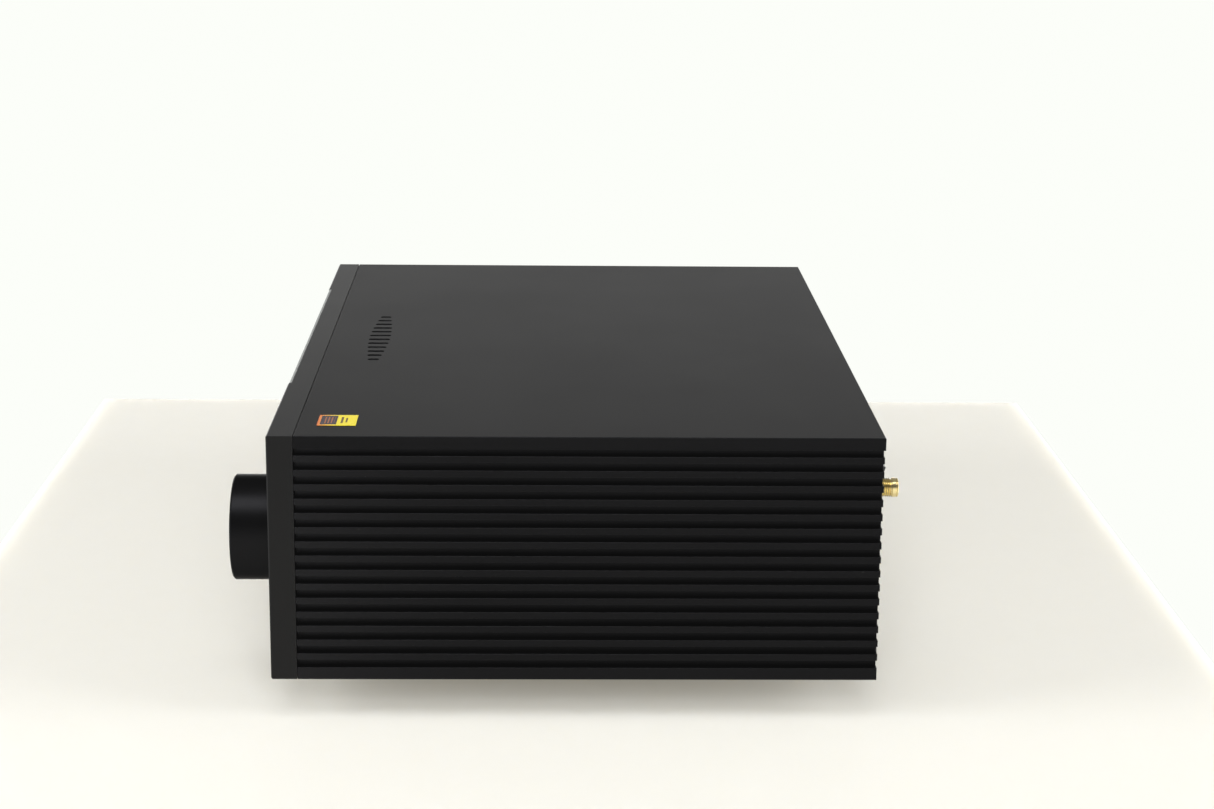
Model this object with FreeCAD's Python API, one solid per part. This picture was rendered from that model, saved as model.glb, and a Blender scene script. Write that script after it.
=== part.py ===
import FreeCAD, Part
import math
import os

# A compact desktop network audio player: a finned aluminium case with a glass front and a volume knob.
# +X is to the right as seen from the front, +Y runs from the front to the back, and +Z is up.
# The origin is on the surface that the feet stand on, midway across and midway front to back.

# ---- Case
case_width = 270.0
case_depth = 187.0
case_height = 77.4
foot_height = 12.6
seam_gap = 0.15
fit_gap = 0.1
edge_break = 0.4
fine_edge_break = 0.2
past = 1.0

# ---- Front panel and its glass
front_thickness = 8.0
glass_width = 152.9
glass_from_side = 67.2
glass_thickness = 0.9
glass_recess = 1.1
glass_side_gap = 0.15
window_width = 140.0
window_height = 62.0

# ---- Display
display_thickness = 3.2
display_margin = 1.0
bracket_sheet = 1.2
bracket_flange_width = 7.0
bracket_flange_height = 3.5
display_board_width = 96.0
display_board_height = 44.0
board_thickness = 1.6

# ---- Volume knob and its encoder
knob_from_side = 33.5
knob_diameter = 33.4
knob_proud = 14.0
knob_wall = 3.2
knob_face = 3.0
knob_rim_chamfer = 0.5
knob_travel = 0.7
knob_end_gap = 0.4
knob_recess_gap = 0.5
knob_skirt_sunk = 0.9
knob_boss_diameter = 14.0
knob_boss_short = 3.3
shaft_flat_short = 3.5
shaft_diameter = 6.0
shaft_flat = 0.5
shaft_gap = 0.05
bush_diameter = 9.0
bush_length = 7.0
encoder_size = 13.0
encoder_depth = 7.0
encoder_wall = 1.2
encoder_pocket_gap = 1.0
knob_web = 3.0
rotor_diameter = 9.8
rotor_thickness = 1.6
rotor_gap = 0.3
plunger_diameter = 5.0
plunger_length = 1.2
nut_flats = 12.0
nut_thickness = 2.2
control_board_width = 29.0
control_board_height = 37.0
grub_socket = 1.5

# ---- Top plate
top_thickness = 3.9
motif_bars = 12
motif_length = 70.0
motif_depth = 7.6
motif_bar_width = 2.4
motif_cut = 0.4
motif_from_front = 25.4
motif_least = 0.45
label_width = 12.4
label_length = 11.9
label_thickness = 0.12
label_from_side = 18.8
label_from_front = 20.15

# ---- Finned side panels
fin_depth = 3.0
fin_pitch = 4.5
ridge_height = 2.0
first_groove = 2.2
bottom_band_least = 2.0
side_wall = 4.0
side_setback = 0.25
rib_size = 8.0
flange_reach = 16.0
flange_thickness = 3.0

# ---- Bottom plate, rear panel and brackets
bottom_thickness = 2.0
vent_width = 2.4
vent_length = 30.0
vent_pitch = 7.0
vent_count = 14
vent_row_share = 0.36
rear_thickness = 2.0
rear_inset = 1.0
bracket_leg = 14.0
bracket_thickness = 2.5
bracket_height = 48.0
bracket_screw_out = 8.68
bracket_screw_rise = 16.0
display_screw_rise = 20.0

# ---- Screws
m3 = 3.0
m4 = 4.0
thread_gap = 0.05
head_to_shank = 1.85
head_height_to_shank = 0.6
head_rounding = 0.6
socket_to_shank = 0.65
socket_to_head = 0.6
case_screw_from_end = 24.0
top_screw_grip = 2.5
side_screw_grip = 2.8
front_screw_grip = 4.0
display_screw_grip = 3.5
rear_screw_grip = 6.0
xlr_screw_grip = 3.0
foot_screw_grip = 2.0
board_screw_grip = 3.4
blind_end = 0.5

# ---- Feet
foot_diameter = 38.0
foot_from_side = 53.0
foot_from_end = 34.0
foot_taper = 1.5
foot_floor = 3.0
foot_head_room = 1.0
pad_diameter = 31.0
pad_thickness = 3.0
pad_seat = 1.5
pad_gap = 0.2
pad_rounding = 0.6

# ---- Boards
standoff_height = 8.0
standoff_flats = 5.5
board_inset = 4.0
board_to_panel = 1.5
board_from_side = 16.0
board_gap = 4.0
main_board_width = 104.0
main_board_depth = 104.0
audio_board_width = 77.0
audio_board_depth = 118.0
power_board_width = 36.0
power_board_depth = 128.0
processor_size = 17.0
processor_share = 0.55
memory_count = 4
memory_width = 8.0
memory_depth = 10.0
memory_height = 0.98
memory_gap = 4.0
memory_first = 24.0
memory_pitch = 13.0
chip_height = 1.4
sink_width = 40.0
sink_depth = 44.0
sink_base = 3.0
sink_height = 14.0
sink_fins = 9
sink_fin_thickness = 1.2
audio_chip_size = 9.0
audio_chip_rows = 2
audio_chip_columns = 3
audio_chip_from_side = 18.0
audio_chip_from_rear = 52.0
audio_chip_spacing = 22.0
audio_chip_row_spacing = 24.0
audio_capacitor_diameter = 8.0
audio_capacitor_height = 12.0
audio_capacitor_rows = 2
audio_capacitor_columns = 6
audio_capacitor_inset = 14.0
audio_capacitor_spacing = 11.0
audio_capacitor_row_spacing = 12.0
transformer_width = 32.0
transformer_depth = 28.0
transformer_height = 24.0
transformer_from_rear = 66.0
winding_width = 24.0
winding_reach = 4.0
winding_inset = 3.0
winding_rounding = 3.0
power_capacitor_diameter = 16.0
power_capacitor_height = 30.0
power_capacitor_from_rear = 99.0
power_capacitor_gap = 1.4
regulator_sink_width = 30.0
regulator_sink_height = 26.0
regulator_sink_depth = 8.0
regulator_sink_from_front = 9.0
regulator_sink_fins = 8
regulator_fin_thickness = 1.5
ribbon_width = 22.0
ribbon_thickness = 0.4
ribbon_bend = 3.0
ribbon_fall_back = 16.0
ribbon_landing = 8.0
ribbon_rise = 1.5
ribbon_plug_side = 2.0
ribbon_plug_height = 5.0
ribbon_plug_depth = 3.0
header_side = 1.5
header_height = 4.0
header_depth = 5.0

# ---- Rear sockets
# They are placed by their distance in from the right or the left side of the case.
# Their height is above the underside of the case, or above the boards they are soldered to.
aerial_from_right = 49.6
aerial_height = 47.7
aerial_proud = 11.3
aerial_thread = 6.35
aerial_shank = 5.8
aerial_lip = 1.2
aerial_lip_diameter = 5.7
aerial_bore = 4.6
aerial_bore_depth = 2.6
aerial_contact = 1.3
aerial_contact_depth = 6.0
aerial_nut_flats = 8.0
aerial_nut_thickness = 2.2
aerial_inside = 9.0
inlet_from_right = 28.5
inlet_height = 26.0
inlet_width = 27.2
inlet_tall = 19.8
inlet_flange_edge = 2.0
inlet_flange_thickness = 2.2
inlet_flange_rounding = 1.5
inlet_depth = 20.0
inlet_wall = 1.3
inlet_cup_depth = 15.5
inlet_corner = 4.0
blade_width = 4.0
blade_thickness = 2.0
blade_length = 12.0
blade_spread = 7.0
blade_rise = 2.0
rocker_height = 55.0
rocker_body_width = 13.0
rocker_body_tall = 19.4
rocker_depth = 14.0
rocker_wall = 1.2
rocker_flange_edge = 1.0
rocker_flange_rounding = 0.8
rocker_floor = 2.0
rocker_back_cut = 3.2
rocker_pivot_skin = 0.2
rocker_pin_short = 0.5
rocker_radius = 8.2
rocker_side_gap = 0.3
rocker_valley = 2.5
rocker_tilt = 9.0
rocker_pin = 2.0
lan_from_right = 78.5
lan_width = 16.0
lan_tall = 13.5
lan_depth = 21.3
lan_cup_width = 11.8
lan_cup_tall = 7.2
lan_cup_depth = 14.0
lan_notch_width = 6.4
lan_notch_depth = 2.0
usb_from_right = 95.5
usb_width = 14.5
usb_tall = 16.0
usb_depth = 18.5
usb_slot_width = 12.5
usb_slot_tall = 5.1
usb_slot_depth = 12.0
usb_slot_share = 0.27
usb_tongue = 1.8
usb_tongue_rise = 0.8
usb_tongue_side = 0.7
usb_tongue_short = 1.0
optical_in_from_right = 112.0
optical_out_from_right = 127.0
optical_width = 12.0
optical_tall = 12.0
optical_depth = 15.0
optical_mouth = 8.6
optical_wall_back = 2.0
shutter_thickness = 0.8
shutter_barrel = 1.6
shutter_pin = 1.0
shutter_pin_reach = 1.0
shutter_gap = 0.3
shutter_set_in = 1.4
socket_proud = 0.6
coax_in_from_left = 127.0
coax_out_from_left = 111.0
coax_above_board = 8.4
line_out_from_left = 89.0
line_out_above_board = (12.4, 37.4)
rca_diameter = 8.3
rca_proud = 9.6
rca_collar_diameter = 12.4
rca_collar_thickness = 1.4
rca_wall = 0.7
rca_behind = 2.0
rca_bore_in = 2.0
rca_core_short = 0.8
rca_pin_bore = 3.3
rca_block = 11.5
rca_block_depth = 12.0
xlr_right_from_left = 61.0
xlr_left_from_left = 29.0
xlr_height = 38.7
xlr_flange_width = 26.0
xlr_flange_tall = 31.0
xlr_flange_thickness = 2.0
xlr_corner = 3.0
xlr_barrel = 23.6
xlr_barrel_depth = 20.0
xlr_cup = 19.0
xlr_cup_depth = 15.0
xlr_pin_diameter = 2.4
xlr_pin_length = 12.5
xlr_pin_circle = 4.75
xlr_screw_x = 9.5
xlr_screw_z = 12.0

# ---- Places worked out from the sizes above
knob_recess_depth = knob_skirt_sunk + knob_travel + knob_end_gap
front_y = knob_proud - (knob_proud + case_depth + aerial_proud) / 2
rear_y = front_y + case_depth
inside_front_y = front_y + front_thickness
panel_out_y = rear_y - rear_inset
panel_in_y = panel_out_y - rear_thickness
base_z = foot_height
top_z = base_z + case_height
mid_z = base_z + case_height / 2
side_top_z = top_z - top_thickness
floor_z = base_z + bottom_thickness
board_z = floor_z + standoff_height
board_top_z = board_z + board_thickness
half_width = case_width / 2
inner_x = half_width - fin_depth - side_wall
knob_z = mid_z
screw_x = inner_x - (rib_size + flange_reach) / 2
port_x = inner_x - rib_size / 2
port_low_z = floor_z + rib_size / 2
port_high_z = side_top_z - rib_size / 2
display_back_y = front_y + glass_recess + display_thickness
web_back_y = front_y + knob_recess_depth + knob_web
encoder_back_y = web_back_y + encoder_depth
board_rear_y = panel_in_y - board_to_panel
glass_centre_x = half_width - glass_from_side - glass_width / 2
knob_x = half_width - knob_from_side
audio_board_left = board_from_side - inner_x
audio_board_right = audio_board_left + audio_board_width
power_board_right = inner_x - board_from_side
power_board_left = power_board_right - power_board_width
main_board_right = power_board_left - board_gap
main_board_left = main_board_right - main_board_width
aerial_x = half_width - aerial_from_right
inlet_x = half_width - inlet_from_right
lan_x = half_width - lan_from_right
usb_x = half_width - usb_from_right
optical_places = {
    "optical_in": half_width - optical_in_from_right,
    "optical_out": half_width - optical_out_from_right,
}
coax_places = (coax_in_from_left - half_width, coax_out_from_left - half_width)
line_out_x = line_out_from_left - half_width
xlr_places = {
    "xlr_right": xlr_right_from_left - half_width,
    "xlr_left": xlr_left_from_left - half_width,
}

touching = 1e-4

RIGHT = FreeCAD.Vector(1, 0, 0)
BACK = FreeCAD.Vector(0, 1, 0)
FORWARD = FreeCAD.Vector(0, -1, 0)
UP = FreeCAD.Vector(0, 0, 1)
DOWN = FreeCAD.Vector(0, 0, -1)


def at(x, y, z):
    return FreeCAD.Vector(x, y, z)


def block(x0, x1, y0, y1, z0, z1):
    """A rectangular block between two corners."""
    return Part.makeBox(x1 - x0, y1 - y0, z1 - z0, at(x0, y0, z0))


def centred(x, z, width, height, y0, y1):
    """A block centred on a point of the front or rear view, from y0 to y1."""
    return block(x - width / 2, x + width / 2, y0, y1, z - height / 2, z + height / 2)


def rod(diameter, start, direction, length):
    """A round bar that starts at a point and runs along a direction."""
    return Part.makeCylinder(diameter / 2, length, start, direction)


def hexagon(flats, start, direction, length):
    """A six-sided bar, measured across its flats."""
    corner = flats / math.sqrt(3)
    turn = FreeCAD.Rotation(UP, direction)
    corners = []
    for side in range(7):
        angle = math.radians(60 * side)
        corners.append(start + turn.multVec(at(corner * math.cos(angle), corner * math.sin(angle), 0)))
    return Part.Face(Part.makePolygon(corners)).extrude(direction * length)


def joined(pieces):
    """Pieces fused into one clean solid."""
    whole = pieces[0]
    if len(pieces) > 1:
        whole = pieces[0].fuse(pieces[1:])
    return whole.removeSplitter()


def group(pieces):
    """Separate solids that share one node."""
    return Part.makeCompound(pieces)


def edges_on(shape, test):
    """The straight or round edges whose two ends both pass a test."""
    return [edge for edge in shape.Edges if all(test(vertex.Point) for vertex in edge.Vertexes)]


def near(value, target):
    return abs(value - target) < touching


def screw(seat, direction, length, size=m3):
    """A socket button-head screw: the head seats at a point and the shank runs along a direction."""
    head_height = size * head_height_to_shank
    head_diameter = size * head_to_shank
    shank = rod(size, seat, direction, length)
    head = rod(head_diameter, seat - direction * head_height, direction, head_height)
    rim = [edge for edge in head.Edges
           if edge.Closed and near((edge.CenterOfMass - seat).Length, head_height)]
    head = head.makeFillet(head_height * head_rounding, rim)
    socket = hexagon(size * socket_to_shank, seat - direction * head_height, direction,
                     head_height * socket_to_head)
    return shank.fuse(head).removeSplitter().cut(socket)


def screw_hole(seat, direction, length, size=m3):
    """The hole that a screw's shank goes into, with its clearance."""
    return rod(size + 2 * thread_gap, seat, direction, length + thread_gap)


def save(name, shape):
    """Writes one named part."""
    shape.exportStep("parts/" + name + ".step")


# ---- Screw positions that several parts share

def side_signs():
    return (-1, 1)


def case_screw_rows():
    """Distances back from the front at which the top and bottom plates are screwed to the sides."""
    first = inside_front_y + case_screw_from_end
    last = panel_in_y - case_screw_from_end
    return (first, (first + last) / 2, last)


def top_screw_seats():
    return [at(side * screw_x, y, side_top_z - flange_thickness)
            for side in side_signs() for y in case_screw_rows()]


def bottom_screw_seats():
    return [at(side * screw_x, y, base_z) for side in side_signs() for y in case_screw_rows()]


def rear_screw_seats():
    return [at(side * port_x, panel_out_y, z) for side in side_signs() for z in (port_low_z, port_high_z)]


def bracket_front_seats():
    """Seats of the screws that hold the corner brackets to the front panel."""
    x = inner_x - bracket_screw_out
    y = inside_front_y + bracket_thickness
    return [at(side * x, y, mid_z + end * bracket_screw_rise)
            for side in side_signs() for end in side_signs()]


def bracket_side_seats():
    """Seats of the screws that hold the corner brackets to the side panels."""
    y = inside_front_y + bracket_screw_out
    x = inner_x - bracket_thickness
    return [(side, at(side * x, y, mid_z + end * bracket_screw_rise))
            for side in side_signs() for end in side_signs()]


def display_screw_seats():
    x = (window_width + bracket_flange_width) / 2
    y = inside_front_y + bracket_sheet
    return [at(glass_centre_x + side * x, y, mid_z + end * display_screw_rise)
            for side in side_signs() for end in side_signs()]


def foot_centres():
    x = half_width - foot_from_side
    front = front_y + foot_from_end
    back = rear_y - foot_from_end
    return {
        "front_left": at(-x, front, 0),
        "front_right": at(x, front, 0),
        "rear_left": at(-x, back, 0),
        "rear_right": at(x, back, 0),
    }


def board_posts(left, right, depth):
    """Places of the four posts under a board."""
    front = board_rear_y - depth + board_inset
    back = board_rear_y - board_inset
    return [at(x, y, floor_z) for x in (left + board_inset, right - board_inset) for y in (front, back)]


def all_posts():
    return (
        board_posts(main_board_left, main_board_right, main_board_depth)
        + board_posts(audio_board_left, audio_board_right, audio_board_depth)
        + board_posts(power_board_left, power_board_right, power_board_depth)
    )


def rca_places():
    coax = [(x, board_top_z + coax_above_board) for x in coax_places]
    line_out = [(line_out_x, board_top_z + height) for height in line_out_above_board]
    return {"coax_sockets": coax, "line_out_sockets": line_out}


# ---- Case

def front_panel():
    """Thick aluminium slab, cut for the glass, the display window and the knob."""
    slab = block(-half_width, half_width, front_y, inside_front_y, base_z, top_z)
    slab = slab.makeChamfer(edge_break, edges_on(slab, lambda p: near(p.y, front_y)))
    glass_space = glass_width + 2 * glass_side_gap
    recess = block(glass_centre_x - glass_space / 2, glass_centre_x + glass_space / 2,
                   front_y - past, front_y + glass_recess, base_z - past, top_z + past)
    window = centred(glass_centre_x, mid_z, window_width, window_height, front_y, inside_front_y + past)
    knob_recess = rod(knob_diameter + 2 * knob_recess_gap, at(knob_x, front_y - past, knob_z), BACK,
                      past + knob_recess_depth)
    bush_hole = rod(bush_diameter + 2 * fit_gap, at(knob_x, front_y, knob_z), BACK, front_thickness)
    pocket_size = encoder_size + 2 * encoder_pocket_gap
    pocket = centred(knob_x, knob_z, pocket_size, pocket_size, web_back_y, inside_front_y + past)
    panel = slab.cut([recess, window, knob_recess, bush_hole, pocket])
    holes = [screw_hole(seat, FORWARD, bracket_thickness + front_screw_grip + blind_end)
             for seat in bracket_front_seats()]
    holes += [screw_hole(seat, FORWARD, bracket_sheet + display_screw_grip + blind_end)
              for seat in display_screw_seats()]
    return panel.cut(holes)


def front_glass():
    """Flat cover glass in the panel's full-height recess."""
    back = front_y + glass_recess
    glass = block(glass_centre_x - glass_width / 2, glass_centre_x + glass_width / 2,
                  back - glass_thickness, back, base_z + fine_edge_break, top_z - fine_edge_break)
    return glass.makeChamfer(fine_edge_break, edges_on(glass, lambda p: near(p.y, back - glass_thickness)))


def top_motif():
    """Rounded level bars, taller towards the middle, that are cut into the top plate."""
    pitch = (motif_length - motif_bar_width) / (motif_bars - 1)
    bars = []
    for index in range(motif_bars):
        x = -motif_length / 2 + motif_bar_width / 2 + index * pitch
        share = motif_least + (1 - motif_least) * math.sin(math.pi * (index + 0.5) / motif_bars)
        straight = (motif_depth * share - motif_bar_width) / 2
        y = front_y + motif_from_front
        bar = block(x - motif_bar_width / 2, x + motif_bar_width / 2, y - straight, y + straight,
                    top_z - motif_cut, top_z + past)
        ends = [rod(motif_bar_width, at(x, y + end * straight, top_z - motif_cut), UP, motif_cut + past)
                for end in side_signs()]
        bars.append(bar.fuse(ends))
    return bars


def top_plate():
    """Flat plate over the whole top, with a shallow cut motif near the front."""
    front = inside_front_y + seam_gap
    plate = block(-half_width, half_width, front, rear_y, side_top_z, top_z)
    plate = plate.makeChamfer(fine_edge_break, edges_on(plate, lambda p: near(p.z, top_z)))
    holes = [screw_hole(seat, UP, flange_thickness + top_screw_grip + fit_gap) for seat in top_screw_seats()]
    return plate.cut(top_motif() + holes)


def top_label():
    """Thin square label near the front right corner of the top."""
    x = half_width - label_from_side
    y = front_y + label_from_front
    return block(x - label_width / 2, x + label_width / 2, y - label_length / 2, y + label_length / 2,
                 top_z, top_z + label_thickness)


def side_panel(side):
    """Finned side extrusion with screw ribs and flanges on its inner face."""
    front = inside_front_y + seam_gap
    back = rear_y - side_setback
    wall = block(inner_x, half_width, front, back, base_z, side_top_z)
    grooves = [block(half_width - fin_depth, half_width + past, front - past, back + past,
                     side_top_z - first_groove, side_top_z + past)]
    side_height = side_top_z - base_z
    ridge_count = int((side_height - first_groove - bottom_band_least) / fin_pitch)
    for index in range(ridge_count):
        ridge_top = side_top_z - first_groove - index * fin_pitch
        grooves.append(block(half_width - fin_depth, half_width + past, front - past, back + past,
                             ridge_top - fin_pitch, ridge_top - ridge_height))
    wall = wall.cut(grooves)
    inside_back = panel_in_y
    ribs = [
        block(inner_x - rib_size, inner_x, front, inside_back, floor_z, floor_z + rib_size),
        block(inner_x - rib_size, inner_x, front, inside_back, side_top_z - rib_size, side_top_z),
        block(inner_x - flange_reach, inner_x, front, inside_back, floor_z, floor_z + flange_thickness),
        block(inner_x - flange_reach, inner_x, front, inside_back, side_top_z - flange_thickness, side_top_z),
    ]
    panel = joined([wall] + ribs)
    ports = [rod(m3 + 2 * thread_gap, at(port_x, front - past, z), BACK, case_depth)
             for z in (port_low_z, port_high_z)]
    if side < 0:
        panel = panel.mirror(at(0, 0, 0), RIGHT)
        ports = [port.mirror(at(0, 0, 0), RIGHT) for port in ports]
    holes = [screw_hole(seat, UP, flange_thickness + past) for seat in top_screw_seats()]
    holes += [screw_hole(seat, UP, bottom_thickness + flange_thickness + past)
              for seat in bottom_screw_seats()]
    holes += [screw_hole(seat, RIGHT * end, bracket_thickness + side_screw_grip + fit_gap)
              for end, seat in bracket_side_seats() if end == side]
    return panel.cut(ports + holes)


def bottom_plate():
    """Steel base plate between the side panels, with two rows of vents."""
    reach = inner_x - fit_gap
    plate = block(-reach, reach, inside_front_y + seam_gap, rear_y - side_setback, base_z, floor_z)
    vents = []
    for share in (vent_row_share, 1 - vent_row_share):
        row_y = front_y + case_depth * share
        for index in range(vent_count):
            x = (index - (vent_count - 1) / 2) * vent_pitch
            straight = (vent_length - vent_width) / 2
            slot = block(x - vent_width / 2, x + vent_width / 2, row_y - straight, row_y + straight,
                         base_z - past, floor_z + past)
            ends = [rod(vent_width, at(x, row_y + end * straight, base_z - past), UP,
                        bottom_thickness + 2 * past) for end in side_signs()]
            vents.append(slot.fuse(ends))
    holes = [screw_hole(seat, UP, bottom_thickness) for seat in bottom_screw_seats()]
    holes += [screw_hole(at(c.x, c.y, base_z), UP, bottom_thickness, m4) for c in foot_centres().values()]
    holes += [screw_hole(at(post.x, post.y, base_z), UP, bottom_thickness) for post in all_posts()]
    return plate.cut(vents + holes)


def rear_panel():
    """Steel rear panel between the side panels, cut for every socket."""
    reach = inner_x - fit_gap
    panel = block(-reach, reach, panel_in_y, panel_out_y, floor_z, side_top_z)
    y0 = panel_in_y - past
    y1 = panel_out_y + past
    through = rear_thickness + 2 * past
    cuts = [
        centred(inlet_x, base_z + inlet_height, inlet_width + 2 * fit_gap, inlet_tall + 2 * fit_gap, y0, y1),
        centred(inlet_x, base_z + rocker_height, rocker_body_width + 2 * fit_gap,
                rocker_body_tall + 2 * fit_gap, y0, y1),
        rod(aerial_shank + 2 * fit_gap, at(aerial_x, y0, base_z + aerial_height), BACK, through),
        centred(lan_x, board_top_z + lan_tall / 2, lan_width + 2 * fit_gap, lan_tall + 2 * fit_gap, y0, y1),
        centred(usb_x, board_top_z + usb_tall / 2, usb_width + 2 * fit_gap, usb_tall + 2 * fit_gap, y0, y1),
    ]
    for x in optical_places.values():
        cuts.append(centred(x, board_top_z + optical_tall / 2, optical_width + 2 * fit_gap,
                            optical_tall + 2 * fit_gap, y0, y1))
    for places in rca_places().values():
        cuts += [rod(rca_diameter + 2 * fit_gap, at(x, y0, z), BACK, through) for x, z in places]
    for x in xlr_places.values():
        cuts.append(rod(xlr_barrel + 2 * fit_gap, at(x, y0, base_z + xlr_height), BACK, through))
    cuts += [screw_hole(seat, FORWARD, rear_thickness) for seat in rear_screw_seats()]
    cuts += [screw_hole(seat, FORWARD, xlr_flange_thickness + rear_thickness) for seat in xlr_screw_seats()]
    return panel.cut(cuts)


def front_bracket(side):
    """Corner bracket between the front panel and one side panel."""
    low = mid_z - bracket_height / 2
    high = mid_z + bracket_height / 2
    front = inside_front_y
    front_leg = block(inner_x - bracket_leg, inner_x, front, front + bracket_thickness, low, high)
    side_leg = block(inner_x - bracket_thickness, inner_x, front, front + bracket_leg, low, high)
    bracket = joined([front_leg, side_leg])
    if side < 0:
        bracket = bracket.mirror(at(0, 0, 0), RIGHT)
    holes = [screw_hole(seat, FORWARD, bracket_thickness) for seat in bracket_front_seats()]
    holes += [screw_hole(seat, RIGHT * end, bracket_thickness)
              for end, seat in bracket_side_seats() if end == side]
    return bracket.cut(holes)


def foot(centre):
    """Turned foot with a seat for its pad and a deep hole for its screw."""
    tapered = Part.makeCone(foot_diameter / 2 - foot_taper, foot_diameter / 2, foot_height - pad_seat,
                            at(centre.x, centre.y, pad_seat), UP)
    seat = rod(pad_diameter + 2 * pad_gap, at(centre.x, centre.y, 0), UP, pad_thickness)
    head_hole = rod(m4 * head_to_shank + foot_head_room, at(centre.x, centre.y, 0), UP,
                    foot_height - foot_floor)
    shank_hole = screw_hole(at(centre.x, centre.y, 0), UP, foot_height, m4)
    return tapered.cut([seat, head_hole, shank_hole])


def foot_pad(centre):
    """Soft round pad that the case stands on."""
    pad = rod(pad_diameter, at(centre.x, centre.y, 0), UP, pad_thickness)
    rim = [edge for edge in pad.Edges if edge.Closed and near(edge.CenterOfMass.z, 0)]
    return pad.makeFillet(pad_rounding, rim)


def foot_screws():
    length = foot_floor + bottom_thickness + foot_screw_grip
    return group([screw(at(c.x, c.y, foot_height - foot_floor), UP, length, m4)
                  for c in foot_centres().values()])


def case_screws():
    """Every screw of the one size that holds the case, its brackets, the display and the rear sockets."""
    screws = [screw(seat, UP, flange_thickness + top_screw_grip) for seat in top_screw_seats()]
    screws += [screw(seat, UP, bottom_thickness + flange_thickness) for seat in bottom_screw_seats()]
    screws += [screw(seat, FORWARD, rear_thickness + rear_screw_grip) for seat in rear_screw_seats()]
    screws += [screw(seat, FORWARD, bracket_thickness + front_screw_grip) for seat in bracket_front_seats()]
    screws += [screw(seat, RIGHT * side, bracket_thickness + side_screw_grip)
               for side, seat in bracket_side_seats()]
    screws += [screw(seat, FORWARD, bracket_sheet + display_screw_grip) for seat in display_screw_seats()]
    screws += [screw(seat, FORWARD, xlr_flange_thickness + rear_thickness + xlr_screw_grip)
               for seat in xlr_screw_seats()]
    return group(screws)


# ---- Front: display, encoder and knob

def display_module():
    """Flat display behind the glass."""
    return centred(glass_centre_x, mid_z, window_width - 2 * display_margin,
                   window_height - 2 * display_margin, front_y + glass_recess, display_back_y)


def display_bracket():
    """Pressed tray that holds the display against the glass."""
    width = window_width - 2 * display_margin
    height = window_height - 2 * display_margin
    back = inside_front_y + bracket_sheet
    tray = centred(glass_centre_x, mid_z, width, height, display_back_y, back)
    flange = centred(glass_centre_x, mid_z, window_width + 2 * bracket_flange_width,
                     window_height + 2 * bracket_flange_height, inside_front_y, back)
    hollow = centred(glass_centre_x, mid_z, width - 2 * bracket_sheet, height - 2 * bracket_sheet,
                     display_back_y + bracket_sheet, back + past)
    holes = [screw_hole(seat, FORWARD, bracket_sheet) for seat in display_screw_seats()]
    return joined([tray, flange]).cut([hollow] + holes)


def display_board():
    """Driver board in the tray behind the display."""
    front = display_back_y + bracket_sheet
    back = front + board_thickness
    board = centred(glass_centre_x, mid_z, display_board_width, display_board_height, front, back)
    plug = centred(glass_centre_x, mid_z, ribbon_width + 2 * ribbon_plug_side, ribbon_plug_height,
                   back, back + ribbon_plug_depth)
    return joined([board, plug])


def encoder_body():
    """Encoder housing and threaded bush, hollow for the rotor and the plunger."""
    can = centred(knob_x, knob_z, encoder_size, encoder_size, web_back_y, encoder_back_y)
    bush = rod(bush_diameter, at(knob_x, web_back_y, knob_z), FORWARD, bush_length)
    chamber = rod(rotor_diameter + 2 * rotor_gap, at(knob_x, web_back_y + encoder_wall, knob_z), BACK,
                  encoder_depth - 2 * encoder_wall)
    bore = rod(shaft_diameter + 2 * shaft_gap, at(knob_x, web_back_y - bush_length - past, knob_z), BACK,
               bush_length + past + encoder_wall + past)
    return joined([can, bush]).cut([chamber, bore])


def encoder_nut():
    """Flat nut that clamps the encoder in the knob's recess."""
    start = at(knob_x, front_y + knob_recess_depth, knob_z)
    nut = hexagon(nut_flats, start, FORWARD, nut_thickness)
    return nut.cut(rod(bush_diameter + 2 * thread_gap, start + BACK, FORWARD, nut_thickness + 2 * past))


def rotor_back_y():
    return web_back_y + encoder_wall + rotor_gap + rotor_thickness


def encoder_shaft():
    """Turning shaft with a flat for the knob and a rotor inside the encoder."""
    tip = front_y - knob_proud + knob_face + fit_gap
    shaft = rod(shaft_diameter, at(knob_x, tip, knob_z), BACK, rotor_back_y() - tip)
    rotor = rod(rotor_diameter, at(knob_x, rotor_back_y(), knob_z), FORWARD, rotor_thickness)
    flat_end = front_y - shaft_flat_short
    flat_top = knob_z - shaft_diameter / 2 + shaft_flat
    flat = block(knob_x - shaft_diameter, knob_x + shaft_diameter, tip - past, flat_end,
                 flat_top - shaft_diameter, flat_top)
    return joined([shaft, rotor]).cut(flat)


def push_plunger():
    """Plunger behind the shaft that works the push switch."""
    return rod(plunger_diameter, at(knob_x, rotor_back_y() + shaft_gap, knob_z), BACK, plunger_length)


def volume_knob():
    """Hollow turned knob with a boss for the shaft and a hole for its grub screw."""
    face = front_y - knob_proud
    skirt_end = front_y + knob_skirt_sunk
    boss_end = front_y - knob_boss_short
    knob = rod(knob_diameter, at(knob_x, face, knob_z), BACK, skirt_end - face)
    knob = knob.makeChamfer(knob_rim_chamfer, [edge for edge in knob.Edges
                                               if edge.Closed and near(edge.CenterOfMass.y, face)])
    hollow = rod(knob_diameter - 2 * knob_wall, at(knob_x, face + knob_face, knob_z), BACK, knob_proud)
    boss = rod(knob_boss_diameter, at(knob_x, face + knob_face, knob_z), BACK, boss_end - face - knob_face)
    bore = rod(shaft_diameter + 2 * shaft_gap, at(knob_x, face + knob_face, knob_z), BACK, knob_proud)
    grub_hole = rod(m3 + 2 * thread_gap, at(knob_x, grub_y(), knob_z), DOWN, knob_diameter)
    return joined([knob.cut(hollow), boss]).cut([bore, grub_hole])


def grub_y():
    return front_y - knob_proud / 2


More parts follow.
